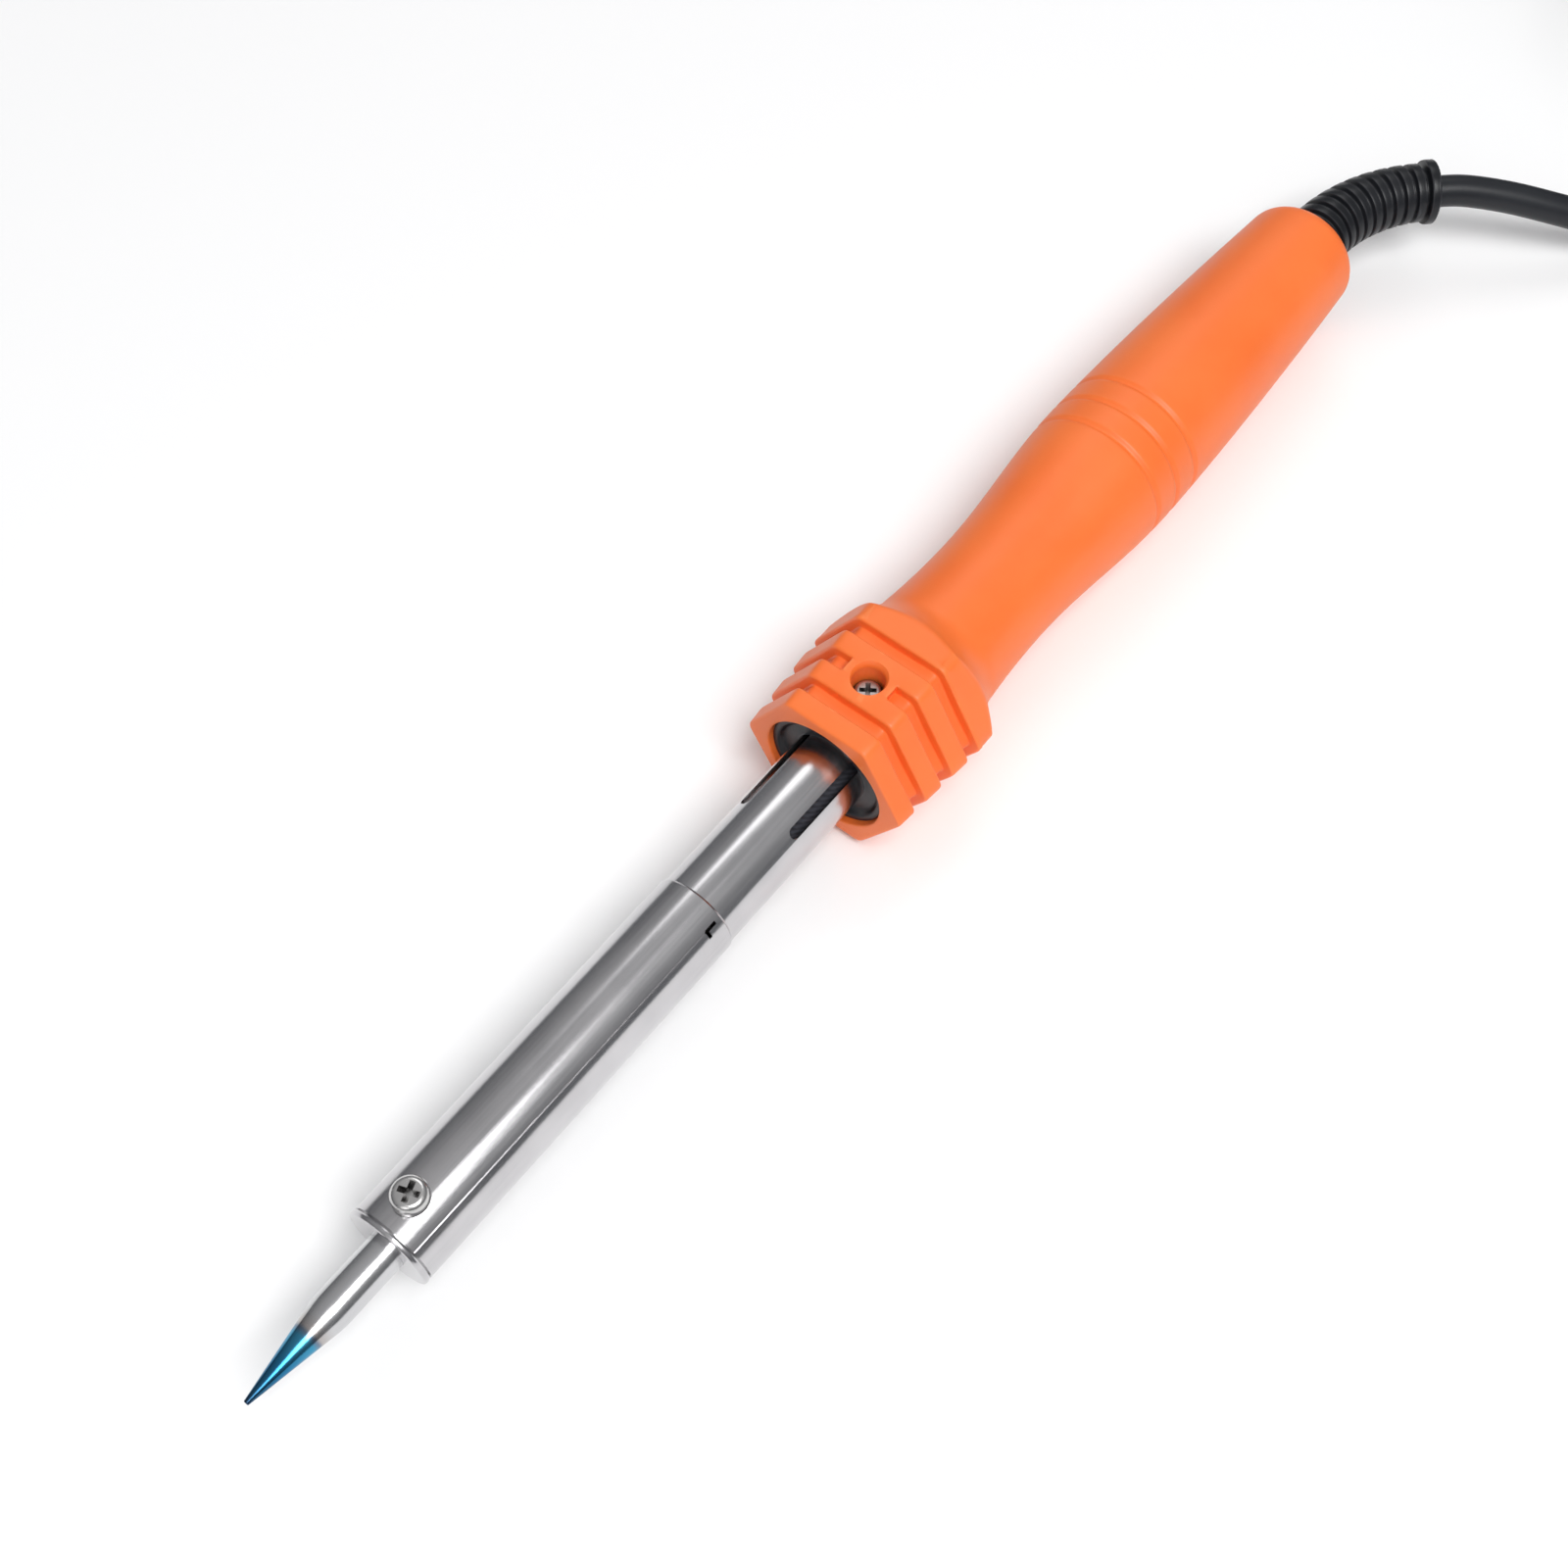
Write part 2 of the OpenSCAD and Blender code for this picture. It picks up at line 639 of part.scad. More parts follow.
// Rear flange, neck slope and grip as one turned outline, with the flange's flats cut last
module grip() {
    slope_end = collar_l + neck_slope_l;
    slope_h = corner_rear_r - neck_d / 2;
    end = handle_l - rear_round;
    rings_start = grip_back - 2 * grip_pitch;
    rings_end = grip_back + 2 * grip_pitch;
    edge_r = grip_r(end) - rear_round;
    intersection() {
        rotate([0, 0, 30])
            cylinder(d = collar_rear_af / cos(30), h = handle_l + 1, $fn = 6);
        rotate_extrude()
            polygon([[0, flange_start], [corner_rear_r, flange_start], [corner_rear_r, collar_l],
                for (k = [1 : 7])
                    [neck_d / 2 + slope_h * pow(1 - k / 8, 2), collar_l + neck_slope_l * k / 8],
                for (k = [0 : 11]) let (s = slope_end + (rings_start - slope_end) * k / 12) [grip_r(s), s],
                for (s = [rings_start : 0.5 : rings_end - 0.5]) [grip_r(s) - grip_cut(s), s],
                for (k = [0 : 10]) let (s = rings_end + (end - rings_end) * k / 10) [grip_r(s), s],
                for (a = [15 : 15 : 90]) [edge_r + rear_round * cos(a), end + rear_round * sin(a)],
                [0, handle_l]]);
    }
}

module handle() {
    bush_bore_l = bush_recess + bush_l + slip;
    color("darkorange")
        difference() {
            on_axis(handle_x) {
                collar_rings();
                grip();
            }
            on_axis(handle_x) {
                translate([0, 0, -cut])
                    cylinder(d = bush_flange_d, h = cut + bush_recess + bush_flange_t + slip);
                cylinder(d = bush_body_d, h = bush_bore_l);
                cylinder(d = cavity_d, h = handle_l - rear_wall);
                cylinder(d = relief_root_d + 2 * slip, h = handle_l + cut);
            }
            translate([handle_x + hole_back, 0, axis_z])
                cylinder(d = hole_d, h = collar_rear_af);
        }
}

module clamp_screw() {
    seat_z = axis_z + bush_body_d / 2 + snug;
    shank_l = seat_z - axis_z - barrel_rear_d / 2 - snug;
    color("dimgray")
        translate([handle_x + hole_back, 0, seat_z])
            difference() {
                union() {
                    pan_head(clamp_head_d, clamp_head_h);
                    translate([0, 0, -shank_l])
                        cylinder(d = clamp_d, h = shank_l + 0.1);
                }
                translate([0, 0, clamp_head_h])
                    cross_recess(cross_w, 0.6 * clamp_head_d, 0.6 * clamp_head_h);
            }
}

// Places of the two screws over each terminal tube
module at_terminal_screws() {
    for (side = [-1, 1], end = [0.22, 0.78])
        translate([block_x + end * block_l, side * terminal_pitch / 2, axis_z])
            children();
}

module terminal_block() {
    color("ivory")
        difference() {
            translate([block_x, -block_w / 2, axis_z - block_h / 2])
                cube([block_l, block_w, block_h]);
            for (side = [-1, 1])
                translate([block_x - cut, side * terminal_pitch / 2, axis_z])
                    rotate([0, 90, 0])
                        cylinder(d = terminal_d + 2 * slip, h = block_l + 2 * cut);
            at_terminal_screws()
                cylinder(d = terminal_head_d + 2 * slip, h = block_h);
        }
}

module terminal_tubes() {
    color("goldenrod")
        difference() {
            for (side = [-1, 1])
                translate([block_x + 1, side * terminal_pitch / 2, axis_z])
                    rotate([0, 90, 0])
                        pipe(terminal_d, terminal_bore, block_l - 2);
            at_terminal_screws()
                cylinder(d = terminal_screw_d + 2 * snug, h = terminal_d);
        }
}

module terminal_screws() {
    head_z = terminal_d / 2 + 0.1;
    color("goldenrod")
        at_terminal_screws()
            difference() {
                union() {
                    translate([0, 0, head_z])
                        cylinder(d = terminal_head_d, h = 1.4);
                    translate([0, 0, strand_d / 2 + slip])
                        cylinder(d = terminal_screw_d, h = head_z - strand_d / 2);
                }
                translate([-terminal_head_d, -0.25, head_z + 0.8])
                    cube([2 * terminal_head_d, 0.5, 1]);
            }
}

// One core of the cord: bare strands in the terminal, insulation back to the sheath
module mains_core(side) {
    terminal = [block_rear_x - block_l / 2 + 2, side * terminal_pitch / 2, axis_z];
    mouth = [block_rear_x + 1.5, side * terminal_pitch / 2, axis_z];
    sheath = [sheath_x, side * core_gap / 2, axis_z];
    rod(terminal, mouth, strand_d);
    translate(mouth)
        sphere(d = core_d, $fn = 32);
    rod(mouth, sheath, core_d);
}

module live_wire() {
    color("saddlebrown")
        mains_core(1);
}

module neutral_wire() {
    color("royalblue")
        mains_core(-1);
}

// Round section of diameter d, swung from angle a to angle b of the relief's bend
module bend_piece(d, a, b) {
    translate([bend_x, -relief_bend_r, axis_z])
        rotate([0, 0, 90 - b])
            rotate_extrude(angle = b - a, $fn = 144)
                translate([relief_bend_r, 0])
                    circle(d = d, $fn = 48);
}

module inner_cord() {
    color("dimgray") {
        on_axis(sheath_x + core_d / 2 + 0.2)
            cylinder(d = cord_d, h = bend_x - sheath_x - core_d / 2 - 0.2, $fn = 48);
        bend_piece(cord_d, 0, relief_bend);
    }
}

module cord_crimp() {
    color("silver")
        on_axis(wall_x - relief_flange_t - crimp_l - 0.5)
            pipe(cord_d + 2.4, cord_d + 2 * snug, crimp_l);
}

// Point of the strain relief's centre line at angle a of its bend, and the way it faces there
function bend_at(a) = [bend_x + relief_bend_r * sin(a), -relief_bend_r * (1 - cos(a)), axis_z];
function bend_way(a) = [cos(a), -sin(a), 0];
// One rib and the groove before it: share of the pitch, and how much of the rib's depth is left
rib_steps = [[0, 0], [0.34, 0], [0.46, 1], [0.88, 1]];
function rib_d(i) = relief_root_d + (relief_end_d - relief_root_d) * i / (relief_ribs - 1);

// Ribbed rubber strain relief, with its flange behind the handle's rear wall
module strain_relief() {
    pitch = relief_bend / relief_ribs;
    flange_x = wall_x - relief_flange_t - slip;
    last_d = relief_end_d + 1.2;
    angles = concat([for (i = [0 : relief_ribs - 1], s = rib_steps) (i + s[0]) * pitch], [relief_bend]);
    diameters = concat([for (i = [0 : relief_ribs - 1], s = rib_steps)
        let (d = i < relief_ribs - 1 ? rib_d(i) : last_d)
        s[1] == 1 ? d : rib_d(i) - 2 * relief_rib_depth], [last_d]);
    line = concat([[bend_x - 1.5, 0, axis_z]], [for (a = angles) bend_at(a)]);
    ways = concat([[1, 0, 0]], [for (a = angles) bend_way(a)]);
    bore_ends = [[flange_x - 1, 0, axis_z], for (k = [0 : 8]) bend_at(relief_bend * k / 8),
        bend_at(relief_bend) + bend_way(relief_bend)];
    bore_ways = [[1, 0, 0], for (k = [0 : 8]) bend_way(relief_bend * k / 8), bend_way(relief_bend)];
    bore_d = (cord_d + 2 * snug) / cos(180 / 20);
    color("dimgray")
        difference() {
            union() {
                on_axis(flange_x) {
                    cylinder(d = relief_flange_d, h = relief_flange_t);
                    cylinder(d = relief_root_d, h = bend_x - 1 - flange_x);
                }
                tube_along(line, ways, concat([diameters[0]], diameters), sides = 20);
            }
            tube_along(bore_ends, bore_ways, [for (p = bore_ends) bore_d], sides = 20);
        }
}

module cord_tube() {
    color("dimgray")
        cord_along([for (p = cord_route) exit_point + p], exit_way);
}

module cord_coil() {
    color("dimgray")
        translate([coil_centre[0], coil_centre[1], 0])
            rotate_extrude()
                translate([coil_r - coil_half_w, 0])
                    square([2 * coil_half_w, coil_h]);
}

module cord_end() {
    color("dimgray")
        cord_along([for (p = end_route) [coil_centre[0] + p[0], coil_centre[1] + p[1], p[2]]], [-1, 0, 0]);
}

// Wire tie round the turns, on the side away from the iron
module coil_tie() {
    gap = 0.3;
    band = 1.2;
    color("black")
        translate([coil_centre[0], coil_centre[1], 0])
            rotate([0, 0, 180])
                difference() {
                    translate([coil_r - coil_half_w - gap - band, -2.5, 0])
                        cube([2 * (coil_half_w + gap + band), 5, coil_h + gap + band]);
                    translate([coil_r - coil_half_w - gap, -3, -1])
                        cube([2 * (coil_half_w + gap), 6, coil_h + gap + 1]);
                }
}

// Puts a plug piece in its place on the coil, made along +X from the end of the cord
module on_coil() {
    translate([coil_centre[0] + plug_at[0], coil_centre[1] + plug_at[1], plug_z])
        children();
}

// Outline of the plug's body, which narrows towards the tail over neck_l
module plug_outline(half, tail_half, neck_l, corner) {
    front = plug_tail_l + plug_l;
    polygon([[plug_tail_l, -tail_half], [plug_tail_l + neck_l, -half], [front - corner, -half],
        [front, corner - half], [front, half - corner], [front - corner, half],
        [plug_tail_l + neck_l, half], [plug_tail_l, tail_half]]);
}

module plug_body() {
    front = plug_tail_l + plug_l;
    color("dimgray")
        on_coil()
            difference() {
                union() {
                    intersection() {
                        translate([0, 0, -plug_t / 2])
                            linear_extrude(plug_t)
                                plug_outline(plug_w / 2, plug_tail_d / 2 + 2, plug_neck_l, 3);
                        translate([0, plug_w / 2, 0])
                            rotate([90, 0, 0])
                                linear_extrude(plug_w)
                                    plug_outline(plug_t / 2, plug_tail_d / 2 + 0.6, plug_neck_l - 3, 1.5);
                    }
                    rotate([0, 90, 0])
                        cylinder(d1 = plug_tail_d, d2 = plug_tail_d + 1, h = plug_tail_l + 1);
                    for (y = [-1, 1])
                        translate([front - 1, y * pin_pitch / 2, 0])
                            rotate([0, 90, 0])
                                cylinder(d = pin_sleeve_d, h = pin_sleeve_l + 1);
                }
                for (y = [-1, 1])
                    translate([front - pin_root_l - snug, y * pin_pitch / 2, 0])
                        rotate([0, 90, 0])
                            cylinder(d = pin_core_d + 2 * snug, h = pin_root_l + pin_sleeve_l + cut);
            }
}

// Pins with a thin core in the plug and its sleeves, and a thicker bare end
module plug_pins() {
    bare = pin_root_l + pin_sleeve_l + snug;
    end = pin_root_l + pin_l;
    core_r = pin_core_d / 2;
    pin_r = pin_d / 2;
    color("silver")
        on_coil()
            for (y = [-1, 1])
                translate([plug_tail_l + plug_l - pin_root_l, y * pin_pitch / 2, 0])
                    rotate([0, 90, 0])
                        rotate_extrude()
                            polygon([[0, 0], [core_r, 0], [core_r, bare], [pin_r, bare],
                                [pin_r, end - 1], [pin_r - 0.3, end - 0.4], [pin_r - 1, end], [0, end]]);
}

soldering_tip();
tip_screw();
front_cap();
barrel();
heater_core();
inner_mica();
heater_winding();
outer_mica();
packing_sleeve();
rear_disc();
heater_leads();
lead_sleeves();
barrel_bushing();
handle();
clamp_screw();
terminal_block();
terminal_tubes();
terminal_screws();
live_wire();
neutral_wire();
inner_cord();
cord_crimp();
strain_relief();
cord_tube();
cord_coil();
cord_end();
coil_tie();
plug_body();
plug_pins();
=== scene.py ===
# %% [markdown]
# # A soldering iron, dressed for its portrait
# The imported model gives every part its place. This lesson adds what a drawing leaves out: soft
# moulded edges, a cord at its full length, and finishes that look like steel, rubber and plastic.
# Everything is in metres, in the same frame as the model, so nothing has to be fitted.

# %% Load the frame
import json
from math import asin, cos, pi, radians, sin

import bmesh
import bpy
from mathutils import Matrix, Vector

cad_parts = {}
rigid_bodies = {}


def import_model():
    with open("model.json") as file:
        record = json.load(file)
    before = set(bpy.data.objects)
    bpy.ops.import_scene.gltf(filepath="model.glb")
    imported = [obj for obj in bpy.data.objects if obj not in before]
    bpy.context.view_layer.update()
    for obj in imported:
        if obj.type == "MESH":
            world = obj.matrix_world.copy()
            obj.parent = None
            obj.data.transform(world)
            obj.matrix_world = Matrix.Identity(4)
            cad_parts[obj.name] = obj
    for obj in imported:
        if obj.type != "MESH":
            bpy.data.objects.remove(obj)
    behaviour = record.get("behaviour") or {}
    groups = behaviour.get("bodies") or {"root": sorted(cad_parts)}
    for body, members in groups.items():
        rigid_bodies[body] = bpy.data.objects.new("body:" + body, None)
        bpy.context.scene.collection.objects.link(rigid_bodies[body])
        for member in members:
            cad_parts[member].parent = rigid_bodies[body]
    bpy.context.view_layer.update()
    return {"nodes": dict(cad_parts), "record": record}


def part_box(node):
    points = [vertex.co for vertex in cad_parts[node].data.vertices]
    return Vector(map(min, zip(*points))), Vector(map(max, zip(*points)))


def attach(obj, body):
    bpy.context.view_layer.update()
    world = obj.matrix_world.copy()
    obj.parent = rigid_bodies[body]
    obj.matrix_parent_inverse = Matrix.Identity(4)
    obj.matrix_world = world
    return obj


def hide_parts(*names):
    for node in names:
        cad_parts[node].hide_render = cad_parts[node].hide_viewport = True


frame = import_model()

MM = 0.001
nodes = frame["nodes"]
print("nodes in the frame:", len(nodes))

# %% [markdown]
# A few places are read from the frame's boxes, and the rest is worked out from them. The iron
# lies along X with its tip towards -X. Its axis runs at half the height of the handle's collar.

# %% Places along the iron
handle_low, handle_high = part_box("handle")
tip_low, tip_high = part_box("soldering_tip")
plug_low, plug_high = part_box("plug_body")
coil_low, coil_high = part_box("cord_coil")
AXIS_Z = (handle_low.z + handle_high.z) / 2
HANDLE_X = handle_low.x
HANDLE_L = (handle_high.x - handle_low.x) / MM
print("axis height in mm:", round(AXIS_Z / MM, 2), " handle length in mm:", round(HANDLE_L, 1))

# %% [markdown]
# ## The camera
# The iron is seen from above, from the tip's end and a little from its right. An azimuth and an
# elevation are easier to think about than a rotation matrix. They give the way back to the
# camera, and a track quaternion turns the camera's own +Z that way with the picture upright.

# %% Camera
VIEW_TARGET = Vector((-14.28, 3.67, 14.4)) * MM
VIEW_AZIMUTH = radians(-51.59)
VIEW_ELEVATION = radians(58.86)
VIEW_DISTANCE = 335.3 * MM


def way_back(azimuth, elevation):
    """The way from the thing that is looked at to the camera or the lamp."""
    level = cos(elevation)
    return Vector((sin(azimuth) * level, -cos(azimuth) * level, sin(elevation)))


def link(obj):
    """Puts an object into the scene."""
    bpy.context.scene.collection.objects.link(obj)
    return obj


def look_from(obj, target, back, distance):
    """Places a camera or a lamp so that it faces the target."""
    obj.location = target + back * distance
    obj.rotation_euler = back.to_track_quat("Z", "Y").to_euler()


camera_data = bpy.data.cameras.new("camera")
camera_data.lens = 50
camera_data.sensor_width = 36
camera_data.clip_start = 0.01
camera = link(bpy.data.objects.new("camera", camera_data))
look_from(camera, VIEW_TARGET, way_back(VIEW_AZIMUTH, VIEW_ELEVATION), VIEW_DISTANCE)
bpy.context.scene.camera = camera
print("camera at", [round(v, 3) for v in camera.location])

# %% [markdown]
# ## The cord's way
# A mains cord is a fixed length of something that bends. It leaves the strain relief in the air,
# comes down to the table in one loose curve, and the rest is wound in a neat coil. The free
# stretches are listed points with a smooth curve through them. The coil is a loop.

# %% Places of the cord
CORD_D = 5.8
RELIEF_BEND = radians(48)
RELIEF_BEND_R = 32.5
RELIEF_STRAIGHT = 3
BEND_X = handle_high.x / MM + RELIEF_STRAIGHT
AXIS_H = AXIS_Z / MM
exit_mm = Vector((BEND_X + RELIEF_BEND_R * sin(RELIEF_BEND),
                  -RELIEF_BEND_R * (1 - cos(RELIEF_BEND)), AXIS_H))
coil_mm = Vector(((coil_low.x + coil_high.x) / 2, (coil_low.y + coil_high.y) / 2, 0)) / MM
lead_in = [(0, 0, 0), (4, -4.4, -0.2), (9, -11.2, -1.5), (14, -18.6, -3.6), (19.6, -26.4, -6.4),
           (24.2, -31.5, -8.4), (29.7, -35.5, -10), (35.9, -38.3, -11.1), (41.5, -39.6, -11.5),
           (50, -40.2, -11.5), (62, -40.4, -11.5), (78, -40.3, -11.5), (94, -40.1, -11.5),
           (109, -40, -11.5), (122, -39.9, -11.5)]
to_plug = [(0, 30, 32.4), (-8.5, 30, 32.9), (-17, 30, 33.9), (-25.1, 28.6, 35), (-32.2, 24.5, 36.3),
           (-37.5, 18.2, 37.6), (-40.3, 10.4, 38.9), (-40.3, 2.2, 40.1), (-37.5, -5.6, 41.1),
           (-32.2, -11.9, 41.8), (-25.1, -16, 42.2), (-17, -17.4, 42.3)]
print("cord leaves the relief at", [round(v, 1) for v in exit_mm], "mm")


# %% A smooth curve through points
def between(p0, p1, p2, p3, t):
    """Point at share t of the way from p1 to p2, on a Catmull-Rom curve."""
    return 0.5 * (2 * p1 + (p2 - p0) * t + (2 * p0 - 5 * p1 + 4 * p2 - p3) * t**2
                  + (3 * p1 - p0 - 3 * p2 + p3) * t**3)


def smooth_line(points, steps):
    """The points with steps - 1 more after each, on one smooth curve."""
    last = len(points) - 1
    line = []
    for i in range(last):
        four = [points[max(0, min(last, j))] for j in (i - 1, i, i + 1, i + 2)]
        line += [between(*four, k / steps) for k in range(steps)]
    return line + [points[last]]


# %% [markdown]
# The coil lies in six layers. The cord makes one turn that spirals inwards on the table, climbs
# onto it, makes one turn outwards, climbs again, and so on up. Each stretch is an angle to turn
# through, with a radius and a height at both of its ends. The last turn stops at the back.

# %% The coil's turns
COIL_OUT, COIL_IN = 31.9, 26.1
LAYERS, LAYER_H = 6, 5.9
CLIMB, LAST_TURN = 60, 240
COIL_STEP = 5  # degrees between two points of the coil
winding = []
for layer in range(LAYERS):
    z = CORD_D / 2 + layer * LAYER_H
    r_start, r_end = (COIL_OUT, COIL_IN) if layer % 2 == 0 else (COIL_IN, COIL_OUT)
    if layer < LAYERS - 1:
        winding += [(360, r_start, r_end, z, z), (CLIMB, r_end, r_end, z, z + LAYER_H)]
    else:
        winding.append((LAST_TURN, r_start, r_start + (r_end - r_start) * LAST_TURN / 360, z, z))


def coil_line():
    """Centre line of the coil, from where the lead-in meets it."""
    line, start = [], -90
    for turn, r_a, r_b, z_a, z_b in winding:
        count = turn // COIL_STEP
        for k in range(count):
            share = k / count
            ease = share * share * (3 - 2 * share)
            angle = radians(start + turn * share)
            r = r_a + (r_b - r_a) * share
            z = z_a + (z_b - z_a) * ease
            line.append(coil_mm + Vector((r * cos(angle), r * sin(angle), z)))
        start += turn
    return line


lead_points = [exit_mm + Vector(p) for p in lead_in]
plug_points = [coil_mm + Vector(p) for p in to_plug]
cord_mm = smooth_line(lead_points, 6)[:-1] + coil_line() + smooth_line(plug_points, 6)

# %% [markdown]
# A curve with a round bevel is the natural way to draw a cord: one line, one thickness, and its
# length can be measured. The finishes come later, so the cord gets its material at the end.

# %% Cord piece
cord_curve = bpy.data.curves.new("mains_cord", "CURVE")
cord_curve.dimensions = "3D"
cord_curve.bevel_depth = CORD_D / 2 * MM
cord_curve.bevel_resolution = 8
cord_curve.use_fill_caps = True
spline = cord_curve.splines.new("POLY")
spline.points.add(len(cord_mm) - 1)
for point, place in zip(spline.points, cord_mm):
    point.co = (*(place * MM), 1)
spline.use_smooth = True
mains_cord = link(bpy.data.objects.new("mains_cord", cord_curve))
print("cord drawn with a radius of", CORD_D / 2, "mm")

# %% [markdown]
# ## Table and light
# The floor is plain and nearly white, so the orange and the steel carry the picture. Polished
# steel only looks like steel when it has something to mirror: a pale room, one large soft box
# overhead that draws the long bright band, and a darker stretch of room between the two.

# %% Floor
FLOOR_HALF = 4


def simple_mesh(name, verts, faces):
    """A mesh object from points and faces."""
    mesh = bpy.data.meshes.new(name)
    mesh.from_pydata([tuple(v) for v in verts], [], faces)
    mesh.update()
    return link(bpy.data.objects.new(name, mesh))


corners = [(-1, -1), (1, -1), (1, 1), (-1, 1)]
floor = simple_mesh("floor", [(x * FLOOR_HALF, y * FLOOR_HALF, 0) for x, y in corners], [(0, 1, 2, 3)])
print("floor is", 2 * FLOOR_HALF, "m wide")

# %% Lights and room
bpy.context.scene.view_settings.view_transform = "Standard"
LAMPS = [("soft_box", -20, 62, 1.5, 0.75, 16.7), ("front_fill", -75, 35, 1.8, 0.82, 3.5),
         ("far_fill", 120, 50, 1.8, 0.82, 4.0)]
for name, azimuth, elevation, distance, side, power in LAMPS:
    lamp = bpy.data.lights.new(name, "AREA")
    lamp.shape = "SQUARE"
    lamp.size = side
    lamp.energy = power
    lamp_obj = link(bpy.data.objects.new(name, lamp))
    look_from(lamp_obj, Vector((0, 0, 0)), way_back(radians(azimuth), radians(elevation)), distance)

room = bpy.data.worlds.new("room")
bpy.context.scene.world = room
room.use_nodes = True
room_nodes, room_links = room.node_tree.nodes, room.node_tree.links
ROOM_LOW, ROOM_HIGH = (0.24, 0.25, 0.27, 1), (0.95, 0.95, 0.96, 1)
room_way = room_nodes.new("ShaderNodeTexCoord")
room_split = room_nodes.new("ShaderNodeSeparateXYZ")
room_ramp = room_nodes.new("ShaderNodeValToRGB")
room_ramp.color_ramp.elements[0].color = ROOM_LOW
room_ramp.color_ramp.elements[1].color = ROOM_HIGH
room_links.new(room_way.outputs["Generated"], room_split.inputs["Vector"])
room_links.new(room_split.outputs["Z"], room_ramp.inputs["Fac"])
room_links.new(room_ramp.outputs["Color"], room_nodes["Background"].inputs["Color"])
room_nodes["Background"].inputs["Strength"].default_value = 0.48
print("lamps:", [row[0] for row in LAMPS])

# %% [markdown]
# ## Shared effects
# Real surfaces are never one colour. Five effects do most of the work here, and each is built
# once as a node group with named sockets, then placed in each material with its own values:
# fine grain for moulded and rubbery skins, drawn lines for metal that was pulled through a die,
# mottle for slow changes of tone, a painted highlight that makes outer edges paler, and crevice,
# which paints shade into recesses.

# %% Node helpers
NODE = "ShaderNode"


def connect(tree, source, target):
    """Links a value, colour or constant into a socket."""
    if isinstance(source, bpy.types.NodeSocket):
        tree.links.new(source, target)
    else:
        target.default_value = source


def add(tree, kind, inputs=(), **settings):
    """A node with its settings, and its inputs from sockets or plain values."""
    node = tree.nodes.new(NODE + kind)
    for name, value in settings.items():
        setattr(node, name, value)
    for key, value in dict(inputs).items():
        connect(tree, value, node.inputs[key])
    return node


def new_group(name, inputs, outputs):
    """An empty node group with named number sockets, with its input node and its output node."""
    tree = bpy.data.node_groups.new(name, "ShaderNodeTree")
    for label, value in inputs.items():
        socket = tree.interface.new_socket(label, in_out="INPUT", socket_type="NodeSocketFloat")
        socket.default_value = value
    for label in outputs:
        tree.interface.new_socket(label, in_out="OUTPUT", socket_type="NodeSocketFloat")
    return tree, tree.nodes.new("NodeGroupInput"), tree.nodes.new("NodeGroupOutput")


print("helpers ready")

# %% [markdown]
# Grain is two noises of different size added together. The coarse one is the spark texture of a
# mould, and the fine one keeps a highlight from looking like glass. It gives a height.

# %% Grain group
grain, g_in, g_out = new_group("fine grain", {"Scale": 900.0, "Coarse": 0.3}, ["Height"])
place = add(grain, "TexCoord").outputs["Object"]
fine = add(grain, "TexNoise", {"Vector": place, "Scale": g_in.outputs["Scale"], "Detail": 3.0})
third = add(grain, "Math", {0: g_in.outputs["Scale"], 1: 0.3}, operation="MULTIPLY")
coarse = add(grain, "TexNoise", {"Vector": place, "Scale": third.outputs[0], "Detail": 2.0})
mix = add(grain, "Math", {0: coarse.outputs["Fac"], 1: g_in.outputs["Coarse"], 2: fine.outputs["Fac"]},
          operation="MULTIPLY_ADD")
grain.links.new(mix.outputs[0], g_out.inputs["Height"])
print("group:", grain.name)

# %% [markdown]
# Drawn lines are a noise that is squeezed across the metal and stretched along it, so each
# speck becomes a scratch that runs with the iron. Stretch says how many times longer than wide.

# %% Drawn lines group
drawn, d_in, d_out = new_group("drawn lines", {"Scale": 2500.0, "Stretch": 60.0}, ["Lines"])
split = add(drawn, "SeparateXYZ", {"Vector": add(drawn, "TexCoord").outputs["Object"]})
along = add(drawn, "Math", {0: split.outputs["X"], 1: d_in.outputs["Stretch"]}, operation="DIVIDE")
joined = add(drawn, "CombineXYZ", {"X": along.outputs[0], "Y": split.outputs["Y"], "Z": split.outputs["Z"]})
lines = add(drawn, "TexNoise", {"Vector": joined.outputs[0], "Scale": d_in.outputs["Scale"], "Detail": 4.0})
drawn.links.new(lines.outputs["Fac"], d_out.inputs["Lines"])
print("group:", drawn.name)

# %% [markdown]
# Mottle is a slow, soft noise. It shifts tone and gloss by a few per cent, as skin oil, cooling
# plastic or a thin oxide does. Its contrast is raised, because noise keeps close to its middle.

# %% Mottle group
mottle, m_in, m_out = new_group("mottle", {"Scale": 60.0, "Contrast": 2.0}, ["Mask"])
cloud = add(mottle, "TexNoise", {"Vector": add(mottle, "TexCoord").outputs["Object"],
                                 "Scale": m_in.outputs["Scale"], "Detail": 5.0})
centred = add(mottle, "Math", {0: cloud.outputs["Fac"], 1: 0.5}, operation="SUBTRACT")
raised = add(mottle, "Math", {0: centred.outputs[0], 1: m_in.outputs["Contrast"], 2: 0.5},
             operation="MULTIPLY_ADD", use_clamp=True)
mottle.links.new(raised.outputs[0], m_out.inputs["Mask"])
print("group:", mottle.name)
